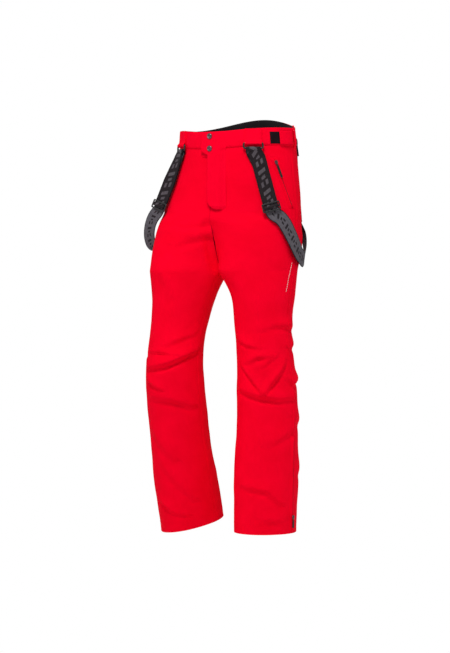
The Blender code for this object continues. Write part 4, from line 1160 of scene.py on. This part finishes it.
def ring_turn_back(side, end, toward):
    """Where the webbing passes over a ring's lower bar: points from in front of it to behind it."""
    at = frame_at(side, RING_TURN[end], RING_TOP_Z)
    bar = np.array(at @ Vector((0, RING_BAR - RING_HEIGHT, RING_OUT)))
    over, _, n = (np.array(c) for c in at.to_3x3().transposed())
    away = toward - bar
    away = unit(away - n * (away @ n) - over * (away @ over))
    fold = RING_BAR / 2 + 0.0005 + STRAP_CLOTH / 2
    a = np.radians(np.linspace(80, -80, 13))[:, None]
    wrap = bar + (n * np.sin(a) - away * np.cos(a)) * fold
    return bar, over, n, away, wrap


for side, word in SIDE_NAMES.items():
    points, normals, acrosses, at_glide = strap_line(side)
    front_bar, front_over, front_n, front_away, front_wrap = ring_turn_back(side, "front", points[at_glide])
    back_bar, back_over, back_n, back_away, back_wrap = ring_turn_back(side, "back", points[-14])
    if front_over @ acrosses[0] < 0:
        front_over = -front_over
    if back_over @ acrosses[-1] < 0:
        back_over = -back_over
    run = points[8:-12]
    before = front_bar + front_away * 0.008 + front_n * 0.0034
    behind = front_bar + front_away * 0.008 - front_n * 0.0028
    back_behind = back_bar + back_away * 0.008 - back_n * 0.0028
    back_join = back_bar + back_away * 0.026 + back_n * 0.0004
    back_before = back_bar + back_away * 0.008 + back_n * 0.0036
    back_tail = back_bar + back_away * 0.030 + back_n * 0.0044
    middles = np.concatenate([[before], front_wrap, [behind], run, [back_join, back_behind], back_wrap[::-1],
                              [back_before, back_tail]])
    ends = len(back_wrap) + 4
    over = np.concatenate([np.repeat(front_over[None], len(front_wrap) + 2, 0), acrosses[8:-12],
                           np.repeat(back_over[None], ends, 0)])
    gaps = distances(middles)
    even = np.linspace(0, gaps[-1], 420)
    middles, over = read_at(even, gaps, middles), read_at(even, gaps, over)
    strap = strap_piece(f"strap_{word}_webbing", middles, unit(over), front_n)
    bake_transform(strap)
    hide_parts(f"strap_{word}", f"strap_back_loop_{word}")

    glide = points[at_glide]
    up = unit(points[0] - glide)
    n = unit(normals[at_glide] - up * (normals[at_glide] @ up))
    over_glide = np.cross(up, n)
    glide_frame = (Matrix.Translation(glide + n * GLIDE_OUT)
                   @ Matrix((over_glide, up, n)).transposed().to_4x4())
    threaded = [(0.0095, -0.0036), (0.0076, -0.0030), (0.0055, -0.0012)]
    threaded += bent((0, 0), WRAP_RADIUS, 60, -150, 14)
    matrix = np.array(glide_frame)
    threaded = np.array([(0, y, out) for y, out in threaded]) @ matrix[:3, :3].T + matrix[:3, 3]
    sign = 1 if over_glide @ acrosses[at_glide] > 0 else -1
    layer = points[5:at_glide - 2] + normals[5:at_glide - 2] * 0.0026
    middles = np.concatenate([[front_bar + front_away * 0.0055 + front_n * 0.0036], layer, threaded])
    over = np.concatenate([[front_over], acrosses[5:at_glide - 2],
                           np.repeat(over_glide[None] * sign, len(threaded), 0)])
    gaps = distances(middles)
    # The doubled layer is cut in two here, where its upper part, which flexes, meets its lower part, which
    # slides; both parts are only baked in place and neither is attached to a body.
    cut_at = float(np.interp(-STRAP_ENDS_Z, -middles[:30, 2], gaps[:30]))
    parts = (("upper", 0, cut_at, ("pants", f"suspender_{word}", -0.062, -0.130)),
             ("lower", cut_at, gaps[-1], (f"suspender_{word}", f"strap_slider_{word}", -0.130, -0.196)))
    for part, first, last, bodies in parts:
        even = np.linspace(first, last, 70)
        line, wide = read_at(even, gaps, middles), read_at(even, gaps, over)
        layer_piece = strap_piece(f"strap_doubled_{part}_{word}_webbing", line, unit(wide), front_n,
                                  start=first)
        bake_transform(layer_piece)
        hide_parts(f"strap_doubled_{word}" if part == "lower" else f"strap_front_loop_{word}")
    slot = rounded(0.040, 0.0056, 0.0012)
    holes = [[(x, y + shift) for x, y in slot] for shift in (-0.0049, 0.0049)]
    slider = plate(f"strap_slider_{word}_plastic", glide_frame, [rounded(0.047, 0.023, 0.003), *holes],
                   0.0028, 0.0007, plastic_black)
    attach(slider, f"strap_slider_{word}")
    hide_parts(f"strap_slider_{word}")

# Thigh mark: a plain dashed line heat-pressed in white down the outside of the left thigh.
print_white = woven("print_white", (0.80, 0.78, 0.79), (0.66, 0.64, 0.66), 0.5, 600.0, 0.00004)
dash_at = np.linspace(0, 1, 15)
for k, (first, last) in enumerate(zip(dash_at[:-1] + 0.012, dash_at[1:] - 0.012)):
    s = edged(first, last, 3, 0.004)
    turn, z = 174 - 6 * s, -0.348 - 0.075 * s
    tilt = edged(-0.55, 0.55, 2, 0.12)
    point, normal = on_shell(LEFT, turn[:, None] + tilt[None, :], z[:, None] + tilt[None, :] * 0.0012, 0.0003)
    dash = slab(f"thigh_dash_{k}", point, normal, 0.0003, [print_white])
    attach(dash, "pants")

# Thread: red polyester for the seams of the shell, laid as single stitches just proud of the cloth.
thread_red = woven("thread_red", (0.90, 0.0005, 0.014), (0.80, 0.0004, 0.012), 0.5, 3000.0, 0.00002)
for seam in sorted(SEWN):
    threads = stitched(f"stitches_{seam}", seam, thread_red)
    if seam.startswith("leg_"):
        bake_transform(threads)
    elif seam == "fly_flap":
        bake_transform(threads)
    elif seam.startswith("waist_tab_"):
        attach(threads, seam)
    elif seam.startswith("zips_shin_"):
        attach(threads, seam[5:])
    else:
        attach(threads, "pants")
